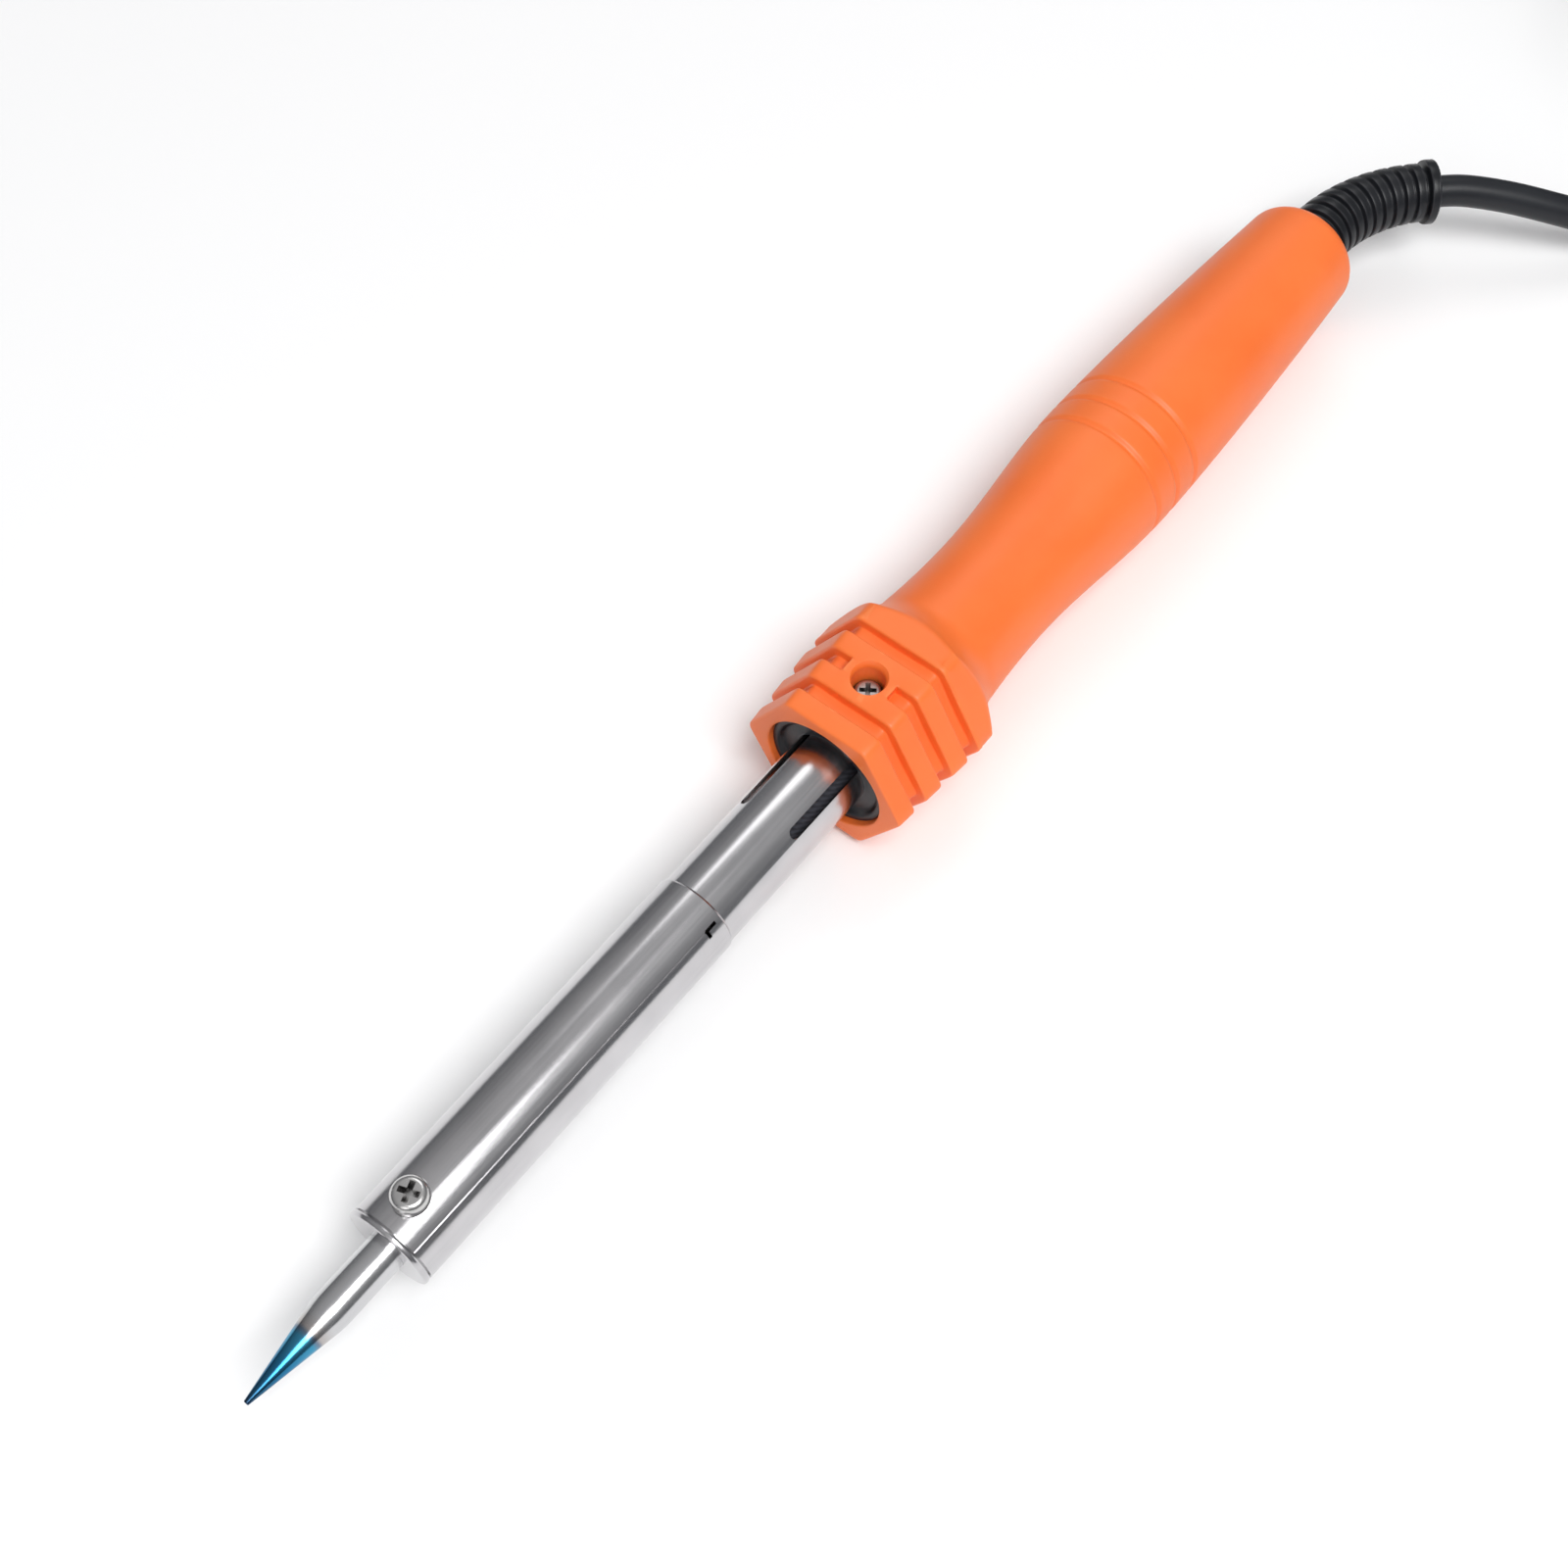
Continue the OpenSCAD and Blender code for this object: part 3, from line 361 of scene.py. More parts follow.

# %% [markdown]
# This group reads how sharply the mesh bends. Above the middle value it is an outer edge,
# which is painted paler as a painted highlight. A little noise breaks the line up.

# %% Edge highlight group
painted_highlight, r_in, r_out = new_group("edge rub", {"Start": 0.52, "Width": 0.06, "Break up": 0.02}, ["Mask"])
bend = add(painted_highlight, "NewGeometry").outputs["Pointiness"]
break_noise = add(painted_highlight, "TexNoise", {"Vector": add(painted_highlight, "TexCoord").outputs["Object"], "Scale": 700.0})
shifted = add(painted_highlight, "Math", {0: break_noise.outputs["Fac"], 1: r_in.outputs["Break up"], 2: bend},
              operation="MULTIPLY_ADD")
high = add(painted_highlight, "Math", {0: r_in.outputs["Start"], 1: r_in.outputs["Width"]}, operation="ADD")
ramp = add(painted_highlight, "MapRange", {"Value": shifted.outputs[0], "From Min": r_in.outputs["Start"],
                             "From Max": high.outputs[0]}, interpolation_type="SMOOTHSTEP")
painted_highlight.links.new(ramp.outputs["Result"], r_out.inputs["Mask"])
print("group:", painted_highlight.name)

# %% [markdown]
# Crevice looks how closed-in a place is. A screw's recess and the foot of a head get little
# light, and this mask paints that shade into the colour: it is 1 there and 0 in the open.

# %% Crevice group
crevice, c_in, c_out = new_group("crevice", {"Reach": 0.001, "Start": 0.75}, ["Mask"])
open_share = add(crevice, "AmbientOcclusion", {"Distance": c_in.outputs["Reach"]}, samples=8).outputs["AO"]
closed = add(crevice, "MapRange", {"Value": open_share, "From Min": c_in.outputs["Start"],
                                   "From Max": 0.25})
crevice.links.new(closed.outputs["Result"], c_out.inputs["Mask"])
print("group:", crevice.name)

# %% [markdown]
# ## Finishes
# Every material is a Principled BSDF with its steady values on its own sockets. What changes
# over the surface comes from the groups: a tone between two colours, a roughness between two
# values, and a height that a Bump node turns into relief.

# %% Material helpers


def place_group(tree, group, **values):
    """A placed copy of a shared effect with its own values."""
    node = tree.nodes.new("ShaderNodeGroup")
    node.node_tree = group
    for name, value in values.items():
        node.inputs[name.replace("_", " ")].default_value = value
    return node


def start_material(name, **steady):
    """A new material whose shader has these steady values."""
    material = bpy.data.materials.new(name)
    material.use_nodes = True
    shader = material.node_tree.nodes["Principled BSDF"]
    for socket, value in steady.items():
        shader.inputs[socket.replace("_", " ")].default_value = value
    return material, material.node_tree, shader


def blend_colours(tree, mask, low, high):
    """Colour from low to high as the mask goes from 0 to 1."""
    node = add(tree, "Mix", data_type="RGBA")
    connect(tree, mask, node.inputs[0])
    connect(tree, low if isinstance(low, bpy.types.NodeSocket) else (*low, 1), node.inputs[6])
    connect(tree, high if isinstance(high, bpy.types.NodeSocket) else (*high, 1), node.inputs[7])
    return node.outputs[2]


def blend_values(tree, mask, low, high):
    """Number from low to high as the mask goes from 0 to 1."""
    node = add(tree, "MapRange", {"Value": mask, "To Min": low, "To Max": high})
    return node.outputs["Result"]


def bump(tree, shader, height, depth, distance):
    """Relief from a height, as deep as distance in metres at a strength of depth."""
    node = add(tree, "Bump", {"Height": height, "Strength": depth, "Distance": distance})
    tree.links.new(node.outputs["Normal"], shader.inputs["Normal"])
    return node


FINISHES = {}
print("shared effects:", [g.name for g in (grain, drawn, mottle, painted_highlight, crevice)])

# %% [markdown]
# Moulded plastic and rubber are one recipe with different numbers: two close tones mixed by
# mottle, a roughness that drifts the same way, a spark grain, and outer edges painted paler as a painted
# highlight.


# %% Moulded skins
def moulded(name, dark, light, rough, grain_scale, grain_depth, highlight_colour, highlight_amount, **steady):
    """A moulded skin. Dark and light are its two tones, and rough its two roughnesses. The two values after
    the grain are the colour and the amount of a painted highlight on outer edges.
    """
    material, tree, shader = start_material(name, **steady)
    patches = place_group(tree, mottle, Scale=55.0, Contrast=2.2).outputs["Mask"]
    tone = blend_colours(tree, patches, dark, light)
    # Painted highlight: outer edges are painted paler than the skin, by the given amount.
    edge = place_group(tree, painted_highlight).outputs["Mask"]
    highlighted = add(tree, "Math", {0: edge, 1: highlight_amount}, operation="MULTIPLY").outputs[0]
    tree.links.new(blend_colours(tree, highlighted, tone, highlight_colour), shader.inputs["Base Color"])
    tree.links.new(blend_values(tree, patches, *rough), shader.inputs["Roughness"])
    skin = place_group(tree, grain, Scale=grain_scale, Coarse=0.5).outputs["Height"]
    bump(tree, shader, skin, 1.0, grain_depth)
    FINISHES[name] = material
    return material


# After the grain values come the colour and the amount of each skin's painted edge highlight.
moulded("orange_handle", (0.90, 0.165, 0.026), (0.95, 0.200, 0.040), (0.42, 0.50), 2600.0, 0.00001,
        (0.98, 0.33, 0.11), 0.30, Subsurface_Weight=0.06, Subsurface_Scale=0.002)
moulded("black_bushing", (0.009, 0.010, 0.014), (0.015, 0.017, 0.022), (0.26, 0.36), 1800.0, 0.00001,
        (0.06, 0.065, 0.075), 0.5, Specular_IOR_Level=0.3)
moulded("cord_rubber", (0.010, 0.011, 0.014), (0.016, 0.018, 0.022), (0.34, 0.44), 1500.0, 0.000012,
        (0.05, 0.052, 0.058), 0.2, Specular_IOR_Level=0.3)
moulded("relief_rubber", (0.006, 0.007, 0.009), (0.011, 0.012, 0.015), (0.30, 0.40), 1600.0, 0.00001,
        (0.05, 0.052, 0.060), 0.4, Specular_IOR_Level=0.3)
moulded("plug_plastic", (0.013, 0.014, 0.018), (0.020, 0.021, 0.026), (0.36, 0.48), 1400.0, 0.000016,
        (0.05, 0.052, 0.058), 0.4)
moulded("live_insulation", (0.17, 0.065, 0.03), (0.24, 0.10, 0.045), (0.35, 0.45), 1800.0, 0.00001,
        (0.34, 0.17, 0.09), 0.3)
moulded("neutral_insulation", (0.035, 0.12, 0.42), (0.055, 0.17, 0.54), (0.35, 0.45), 1800.0, 0.00001,
        (0.15, 0.3, 0.65), 0.3)
print("moulded skins:", len(FINISHES))

# %% [markdown]
# Metals are another recipe. Drawn lines shift the tone and the roughness together, because a
# scratch scatters light as well as darkening it, and the same lines give a very shallow relief.


# %% Metals
def metal(name, dark, light, rough, line_scale, stretch, depth, recess_shade=0.0):
    """A worked metal with lines along the iron. The last value is how dark its crevices are painted, as
    painted shade.
    """
    material, tree, shader = start_material(name, Metallic=1.0)
    marks = place_group(tree, drawn, Scale=line_scale, Stretch=stretch).outputs["Lines"]
    smoke = place_group(tree, mottle, Scale=90.0, Contrast=2.0).outputs["Mask"]
    tone = blend_colours(tree, marks, dark, light)
    tone = blend_colours(tree, smoke, tone, light)
    # Painted shade: the crevice mask darkens the colour in recesses.
    if recess_shade:
        recess_mask = place_group(tree, crevice).outputs["Mask"]
        shade_share = add(tree, "Math", {0: recess_mask, 1: recess_shade}, operation="MULTIPLY").outputs[0]
        tone = blend_colours(tree, shade_share, tone, (0.02, 0.018, 0.016))
    tree.links.new(tone, shader.inputs["Base Color"])
    tree.links.new(blend_values(tree, marks, *rough), shader.inputs["Roughness"])
    bump(tree, shader, marks, 1.0, depth)
    FINISHES[name] = material
    return material


metal("barrel_steel", (0.42, 0.415, 0.43), (0.63, 0.62, 0.63), (0.14, 0.26), 1800.0, 70.0, 0.000004)
# The last value of the screw steel and the inner steel is the painted shade in their crevices.
metal("screw_steel", (0.46, 0.46, 0.46), (0.64, 0.63, 0.62), (0.20, 0.32), 900.0, 3.0, 0.000004, 0.95)
metal("inner_steel", (0.32, 0.31, 0.30), (0.50, 0.49, 0.48), (0.35, 0.50), 1200.0, 20.0, 0.000006, 0.9)
metal("resistance_wire", (0.16, 0.15, 0.15), (0.34, 0.32, 0.31), (0.40, 0.60), 1500.0, 2.0, 0.000008)
metal("brass", (0.60, 0.42, 0.16), (0.80, 0.62, 0.30), (0.22, 0.36), 1500.0, 12.0, 0.000006)
metal("pin_metal", (0.62, 0.61, 0.58), (0.80, 0.79, 0.76), (0.16, 0.28), 1600.0, 10.0, 0.000004)
print("finishes so far:", len(FINISHES))

# %% [markdown]
# The tip is plated steel, and its front was blued by heat. The colour changes along the tip, so
# a ramp reads the distance from the point, pushed about a little by noise: nearly black at the
# very end, deep blue along the cone, a narrow band of bronze, and then bright plating.

# %% Tip finish
BLUED_L = 11.6 * MM
tip_material, tip_tree, tip_shader = start_material("tip_steel", Metallic=1.0)
tip_split = add(tip_tree, "SeparateXYZ", {"Vector": add(tip_tree, "TexCoord").outputs["Object"]})
tip_smoke = place_group(tip_tree, mottle, Scale=260.0, Contrast=1.5).outputs["Mask"]
tip_push = add(tip_tree, "Math", {0: tip_smoke, 1: 0.0006, 2: tip_split.outputs["X"]},
               operation="MULTIPLY_ADD")
tip_share = add(tip_tree, "MapRange", {"Value": tip_push.outputs[0], "From Min": tip_low.x,
                                       "From Max": tip_low.x + 2 * BLUED_L})
tip_ramp = add(tip_tree, "ValToRGB", {"Fac": tip_share.outputs["Result"]})
TIP_TONES = [(0.0, (0.03, 0.05, 0.09)), (0.06, (0.025, 0.09, 0.17)), (0.30, (0.03, 0.19, 0.36)),
             (0.47, (0.06, 0.30, 0.48)), (0.505, (0.16, 0.22, 0.30)), (0.53, (0.46, 0.43, 0.42)),
             (0.62, (0.58, 0.58, 0.59)), (1.0, (0.62, 0.62, 0.63))]
while len(tip_ramp.color_ramp.elements) < len(TIP_TONES):
    tip_ramp.color_ramp.elements.new(0.5)
for element, (share, tone) in zip(tip_ramp.color_ramp.elements, TIP_TONES):
    element.position = share
    element.color = (*tone, 1)
tip_tree.links.new(tip_ramp.outputs["Color"], tip_shader.inputs["Base Color"])
tip_marks = place_group(tip_tree, drawn, Scale=1600.0, Stretch=25.0).outputs["Lines"]
tip_tree.links.new(blend_values(tip_tree, tip_marks, 0.14, 0.27), tip_shader.inputs["Roughness"])
bump(tip_tree, tip_shader, tip_marks, 1.0, 0.000004)
FINISHES["tip_steel"] = tip_material
print("tip tones:", len(TIP_TONES))

# %% [markdown]
# The heater's inner parts are seldom seen, but each has its own stuff: unglazed ceramic with
# dark specks, mica that is a stack of brownish flakes, and sleeves of glass fibre coloured nearly
# black as painted shade, so that the slots read dark. They show only as a dark weave inside the slots.


# %% Inner finishes
def earthen(name, dark, light, scale, rough, depth):
    """A dull mineral skin with specks."""
    material, tree, shader = start_material(name)
    specks = add(tree, "TexVoronoi", {"Vector": add(tree, "TexCoord").outputs["Object"], "Scale": scale})
    patches = place_group(tree, mottle, Scale=scale / 6, Contrast=2.5).outputs["Mask"]
    mask = add(tree, "Math", {0: specks.outputs["Distance"], 1: patches},
               operation="MULTIPLY", use_clamp=True)
    tree.links.new(blend_colours(tree, mask.outputs[0], light, dark), shader.inputs["Base Color"])
    tree.links.new(blend_values(tree, patches, *rough), shader.inputs["Roughness"])
    bump(tree, shader, specks.outputs["Distance"], 1.0, depth)
    FINISHES[name] = material


earthen("ceramic", (0.62, 0.58, 0.50), (0.86, 0.84, 0.78), 1500.0, (0.6, 0.8), 0.00002)
earthen("mica", (0.30, 0.19, 0.08), (0.58, 0.44, 0.25), 500.0, (0.25, 0.5), 0.00003)

glass_material, glass_tree, glass_shader = start_material("glass_fibre", Sheen_Weight=0.3)
weave = add(glass_tree, "TexWave", {"Vector": add(glass_tree, "TexCoord").outputs["Object"], "Scale": 500.0,
                                    "Distortion": 1.0}, bands_direction="DIAGONAL")
# Painted shade: the sleeve's nearly black colour makes the slots inside the barrel read dark.
glass_tone = blend_colours(glass_tree, weave.outputs["Fac"], (0.020, 0.021, 0.030), (0.050, 0.052, 0.068))
glass_tree.links.new(glass_tone, glass_shader.inputs["Base Color"])
glass_rough = blend_values(glass_tree, weave.outputs["Fac"], 0.7, 0.9)
glass_tree.links.new(glass_rough, glass_shader.inputs["Roughness"])
bump(glass_tree, glass_shader, weave.outputs["Fac"], 1.0, 0.00008)
FINISHES["glass_fibre"] = glass_material
print("finishes in all:", len(FINISHES))

# %% Floor finish
floor_material, floor_tree, floor_shader = start_material("floor", Roughness=0.85, Specular_IOR_Level=0.2)
floor_patches = place_group(floor_tree, mottle, Scale=3.0, Contrast=1.0).outputs["Mask"]
floor_tree.links.new(blend_colours(floor_tree, floor_patches, (0.96, 0.96, 0.96), (0.975, 0.975, 0.975)),
                     floor_shader.inputs["Base Color"])
floor.data.materials.append(floor_material)
print("floor is painted")

# %% [markdown]
# ## Paint what the frame brought
# Each node of the frame names its finish in the record, so one loop paints all of them. Nodes
# that get a finer stand-in below are hidden by it, but they're painted too.

# %% Paint the nodes
slot_of = {part["node"]: part["material_slot"] for part in frame["record"]["subparts"]}
for name, obj in nodes.items():
    material = FINISHES[slot_of[name]]
    if not obj.material_slots:
        obj.data.materials.append(material)
    for slot in obj.material_slots:
        slot.material = material
print("painted", len(slot_of), "nodes")

# %% [markdown]
# ## Tools for making meshes
# Nearly every visible part here is round about some line, so one tool does most of the work: it
# takes rings of points and joins each to the next. Turned parts, the six-sided collar, the bent
# relief and the plug's body are all stacks of rings. Corners are softened before they are
# turned, in the flat outline, where it costs a few points and never goes wrong.


# %% Rings to mesh
def ring_mesh(name, rings, closed):
    """A skin over rings of equal count. Closed joins the last to the first, else both ends get a cap."""
    count = len(rings[0])
    verts = [p for ring in rings for p in ring]
    faces = []
    for i in range(len(rings) if closed else len(rings) - 1):
        a, b = i * count, (i + 1) % len(rings) * count
        faces += [(a + k, a + (k + 1) % count, b + (k + 1) % count, b + k) for k in range(count)]
    if not closed:
        faces.append(tuple(reversed(range(count))))
        faces.append(tuple(range((len(rings) - 1) * count, len(rings) * count)))
    return simple_mesh(name, verts, faces)


def tidy_mesh(obj, sharp=38):
    """Merges doubled points, turns faces outwards, and shades smooth up to an angle."""
    work = bmesh.new()
    work.from_mesh(obj.data)
    bmesh.ops.remove_doubles(work, verts=work.verts, dist=0.000001)
    bmesh.ops.dissolve_degenerate(work, edges=work.edges, dist=0.0000005)
    bmesh.ops.recalc_face_normals(work, faces=work.faces)
    work.to_mesh(obj.data)
    work.free()
    obj.data.shade_smooth()
    obj.data.set_sharp_from_angle(angle=radians(sharp))


def dress(obj, slot, body, *replaced):
    """Gives a piece its finish and its body, and says which nodes it stands for."""
    obj.data.materials.clear()
    obj.data.materials.append(FINISHES[slot])
    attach(obj, body)
    if replaced:
        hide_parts(*replaced)
    return obj


def soften(outline, steps=5):
    """An outline with its corners rounded. Each corner is (x, y, radius)."""
    soft = []
    last = len(outline) - 1
    for i, (x, y, r) in enumerate(outline):
        if r == 0 or i in (0, last):
            soft.append((x, y))
            continue
        here = Vector((x, y))
        ends = []
        for j in (i - 1, i + 1):
            there = Vector(outline[j][:2])
            gap = (there - here).length
            ends.append(here + (there - here) * min(r / gap, 0.45))
        for k in range(steps + 1):
            t = k / steps
            soft.append(tuple(ends[0] * (1 - t) ** 2 + here * 2 * t * (1 - t) + ends[1] * t**2))
    return soft


def turned(name, outline, start, way, sides=96):
    """A part turned about the line from start along way.

    The outline is (distance, radius) in millimetres. It is a closed loop, or starts and ends on the axis.
    """
    turn = way.to_track_quat("Z", "Y")
    rings = []
    for s, r in outline:
        r = max(r, 0.0005)
        ring = [Vector((r * cos(2 * pi * k / sides), r * sin(2 * pi * k / sides), s)) for k in range(sides)]
        rings.append([start + turn @ point * MM for point in ring])
    on_axis = outline[0][1] == 0
    return ring_mesh(name, rings, closed=not on_axis)


def carve(obj, *cutters):
    """Cuts other meshes out of this one and deletes them."""
    for cutter in cutters:
        tool = obj.modifiers.new("cut", "BOOLEAN")
        tool.operation = "DIFFERENCE"
        tool.solver = "EXACT"
        tool.object = cutter
    depsgraph = bpy.context.evaluated_depsgraph_get()
    cut_mesh = bpy.data.meshes.new_from_object(obj.evaluated_get(depsgraph))
    obj.modifiers.clear()
    obj.data = cut_mesh
    for cutter in cutters:
        bpy.data.objects.remove(cutter)
    return obj


ALONG = Vector((1, 0, 0))
UP = Vector((0, 0, 1))
print("mesh tools ready")

# %% [markdown]
# ## The handle
# The handle is one moulding: a six-sided collar of three rings and a flange, a slope, a waist, a
# belly with three shallow grip rings, and a round end. A moulding has no sharp edges, so the
# outline is drawn with rounded corners first. A ring is either round, or the flared hexagon
# with so much taken off, and the belly and slope are whichever of the two is smaller.

# %% Handle sizes
FRONT_AF, REAR_AF = 26.0, (handle_high.z - handle_low.z) / MM
RING_W, GROOVE_W, GROOVE_DEPTH = 3.7, 2.5, 2.0
PITCH = RING_W + GROOVE_W
FLANGE_AT = 3 * PITCH
COLLAR_L = FLANGE_AT + RING_W
SLOPE_L = 7.1
CORNER_R = REAR_AF / 2 / cos(radians(30)) - 0.3
NECK_R, WAIST_R, BELLY_R, REAR_R = 11.5, 10.75, 13.1, 10.3
WAIST_AT, BELLY_AT = 44.2, 79.0
GRIP_AT, GRIP_STEP, GRIP_W, GRIP_DEPTH = 79.5, 5.5, 1.8, 0.42
REAR_ROUND = 3.5
BRIDGE_HALF = 4.15
HOLE_AT, HOLE_R = 10.9, 2.6
EDGE_R, FOOT_R = 0.55, 0.4
print("collar length in mm:", COLLAR_L)


# %% Grip outline
def grip_radius(s):
    """Radius of the grip at distance s behind the front face, grip rings left out."""
    if s < WAIST_AT:
        share = (WAIST_AT - s) / (WAIST_AT - COLLAR_L - SLOPE_L)
        return WAIST_R + (NECK_R - WAIST_R) * share**2
    if s < BELLY_AT:
        share = (s - WAIST_AT) / (BELLY_AT - WAIST_AT)
        return WAIST_R + (BELLY_R - WAIST_R) / 2 * (1 - cos(pi * share))
    share = (s - BELLY_AT) / (HANDLE_L - BELLY_AT)
    return BELLY_R - (BELLY_R - REAR_R) * share**1.6


def grip_ring(s):
    """Depth of the three shallow rings at distance s."""
    near = min(abs(s - GRIP_AT - i * GRIP_STEP) for i in (-1, 0, 1))
    return GRIP_DEPTH * (1 + cos(2 * pi * near / GRIP_W)) / 2 if near < GRIP_W / 2 else 0


def grip_rows():
    """(distance, radius) from the flange's front to the rear face."""
    rows = [(s, CORNER_R) for s in (FLANGE_AT + 1, COLLAR_L - 0.6, COLLAR_L)]
    slope_steps = 18
    for k in range(1, slope_steps):
        share = k / slope_steps
        rows.append((COLLAR_L + SLOPE_L * share, NECK_R + (CORNER_R - NECK_R) * (1 - share) ** 2))
    s, end = COLLAR_L + SLOPE_L, HANDLE_L - REAR_ROUND
    while s < end:
        rows.append((s, grip_radius(s) - grip_ring(s)))
        s += 0.18 if abs(s - GRIP_AT) < GRIP_STEP + GRIP_W else 1.0
    edge = grip_radius(end) - REAR_ROUND
    for k in range(13):
        a = k * pi / 24
        rows.append((end + REAR_ROUND * sin(a), edge + REAR_ROUND * cos(a)))
    return rows


print("grip rows:", len(grip_rows()))

# %% [markdown]
# The hexagon's radius in each direction comes from how squarely its flats face that direction.
# A high power of those shares, added up, picks the nearest flat and rounds the corners between.
# The bridge over the middle groove, which carries the screw hole, is a change along a ring.


# %% One ring of the handle
def flats_radius(across, angle, power=34):
    """Radius of a hexagon with soft corners at an angle from straight up."""
    total = sum(max(0.0, cos(angle - radians(60 * k))) ** power for k in range(6))
    return across / 2 / total ** (1 / power)


def collar_across(s):
    """Width across the flats of the flared collar at distance s."""
    return FRONT_AF + (REAR_AF - FRONT_AF) * min(max(s, 0) / FLANGE_AT, 1)


def soft_min(a, b, power=70):
    """The smaller of two radii, with a soft change from one to the other."""
    return (a**-power + b**-power) ** (-1 / power)


def bridge_share(y):
    """1 on the bridge over the middle groove, 0 beside it."""
    share = min(max((abs(y) - BRIDGE_HALF) / 0.4, 0), 1)
    return 1 - share * share * (3 - 2 * share)


def handle_radius(kind, s, value, angle):
    """Radius of one ring of the handle at an angle from straight up."""
    if kind == "round":
        return value
    if kind == "grip":
        return soft_min(value, flats_radius(REAR_AF, angle))
    radius = flats_radius(collar_across(s), angle)
    over_groove = PITCH + RING_W - EDGE_R < s < 2 * PITCH + EDGE_R and cos(angle) > 0
    if over_groove and value > 0:
        value *= 1 - bridge_share(radius * sin(angle))
    return radius - value


print("hexagon corner radius in mm:", round(flats_radius(REAR_AF, radians(30)), 2))

# %% Angles of the handle's rings
CORNER_STEPS = (-3, -2, -1.2, -0.5, 0.2, 0.9, 1.6, 2.6)  # degrees past each corner
BRIDGE_STEPS = (-0.1, 0, 0.08, 0.16, 0.24, 0.32, 0.4, 0.5)  # millimetres past the bridge's sides
BRIDGE_R = 13.6
angles = {2 * pi * k / 150 for k in range(150)}
for corner in range(6):
    angles |= {radians(30 + 60 * corner + step) % (2 * pi) for step in CORNER_STEPS}
bridge_angle = asin(BRIDGE_HALF / BRIDGE_R)
for side in (-1, 1):
    angles |= {side * (bridge_angle + step / BRIDGE_R) % (2 * pi) for step in BRIDGE_STEPS}
handle_angles = sorted(angles)
print("points in each ring:", len(handle_angles))

# %% Handle rows
collar_corners = [(0.0, 1.3, 0), (0.0, 0.0, EDGE_R)]
for i in range(3):
    at = i * PITCH
    collar_corners += [(at + RING_W, 0, EDGE_R), (at + RING_W, GROOVE_DEPTH, FOOT_R),
                       (at + PITCH, GROOVE_DEPTH, FOOT_R), (at + PITCH, 0, EDGE_R)]
collar_corners.append((FLANGE_AT + 0.9, 0, 0))
collar_rows = [("flats", s, inset) for s, inset in soften(collar_corners)]
outer_rows = [("grip", s, r) for s, r in grip_rows()]
BUSH_R, BUSH_SEAT, BODY_R, BODY_END = 10.75, 3.65, 8.75, 20.6
CAVITY_R, WALL_AT, RELIEF_R = 8.25, HANDLE_L - 6, 6.1
inner_corners = [(HANDLE_L, RELIEF_R + 0.6, 0), (HANDLE_L, RELIEF_R, 0.4), (WALL_AT, RELIEF_R, 0.2),
                 (WALL_AT, CAVITY_R, 0.8), (BODY_END, CAVITY_R, 0.2), (BODY_END, BODY_R, 0.2),
                 (BUSH_SEAT, BODY_R, 0.2), (BUSH_SEAT, BUSH_R, 0.2), (0, BUSH_R, 0.4), (0, BUSH_R + 0.6, 0)]
inner_rows = [("round", s, r) for s, r in soften(inner_corners)]
handle_rows = collar_rows + outer_rows + inner_rows
print("rows:", len(handle_rows))

# %% Handle piece
handle_rings = []
for kind, s, value in handle_rows:
    ring = []
    for angle in handle_angles:
        r = handle_radius(kind, s, value, angle) * MM
        ring.append(Vector((HANDLE_X + s * MM, r * sin(angle), AXIS_Z + r * cos(angle))))
    handle_rings.append(ring)
moulded_handle = ring_mesh("moulded_handle", handle_rings, closed=True)
hole_x = HANDLE_X + HOLE_AT * MM
hole_top = (collar_across(HOLE_AT) / 2 - 7) - 0.1
hole_outline = soften([(0, 0, 0), (0, HOLE_R, 0), (hole_top - 0.35, HOLE_R, 0.5),
                       (hole_top + 0.5, HOLE_R + 0.75, 0), (hole_top + 3, HOLE_R + 0.75, 0),
                       (hole_top + 3, 0, 0)])
hole_cutter = turned("hole_cutter", hole_outline, Vector((hole_x, 0, AXIS_Z + 7 * MM)), UP, sides=64)
tidy_mesh(moulded_handle)
tidy_mesh(hole_cutter)
carve(moulded_handle, hole_cutter)
tidy_mesh(moulded_handle)
dress(moulded_handle, "orange_handle", "iron", "handle")
print("handle faces:", len(moulded_handle.data.polygons))

# %% [markdown]
# ## The bushing
# A black heat-proof bushing sits a little below the collar's face and grips the barrel. Its
# flange is dished, so a raised rim catches the light all round. It is turned from one outline.

# %% Bushing piece
bush_low, bush_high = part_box("barrel_bushing")
BUSH_L = (bush_high.x - bush_low.x) / MM
BUSH_RIM = (bush_high.z - bush_low.z) / 2 / MM
BARREL_R = 6.67
BUSH_BODY_R, LEAD_HOLE_R, STOP_L = 8.73, 4.8, 2.95
bush_outline = soften([(0.8, BARREL_R, 0), (0.8, BARREL_R + 0.5, 0.2), (1.0, BUSH_RIM - 1.7, 0.5),
                       (0.0, BUSH_RIM - 1.15, 0.35), (0.0, BUSH_RIM, 0.35), (2.6, BUSH_RIM, 0.2),
                       (2.6, BUSH_BODY_R, 0.2), (BUSH_L, BUSH_BODY_R, 0.3), (BUSH_L, LEAD_HOLE_R, 0.3),
                       (BUSH_L - STOP_L, LEAD_HOLE_R, 0.1), (BUSH_L - STOP_L, BARREL_R, 0.1),
                       (0.8, BARREL_R, 0)])
dished_bushing = turned("dished_bushing", bush_outline[:-1], Vector((bush_low.x, 0, AXIS_Z)), ALONG)
CLAMP_R = 1.77
clamp_start = Vector((hole_x, 0, AXIS_Z + 5 * MM))
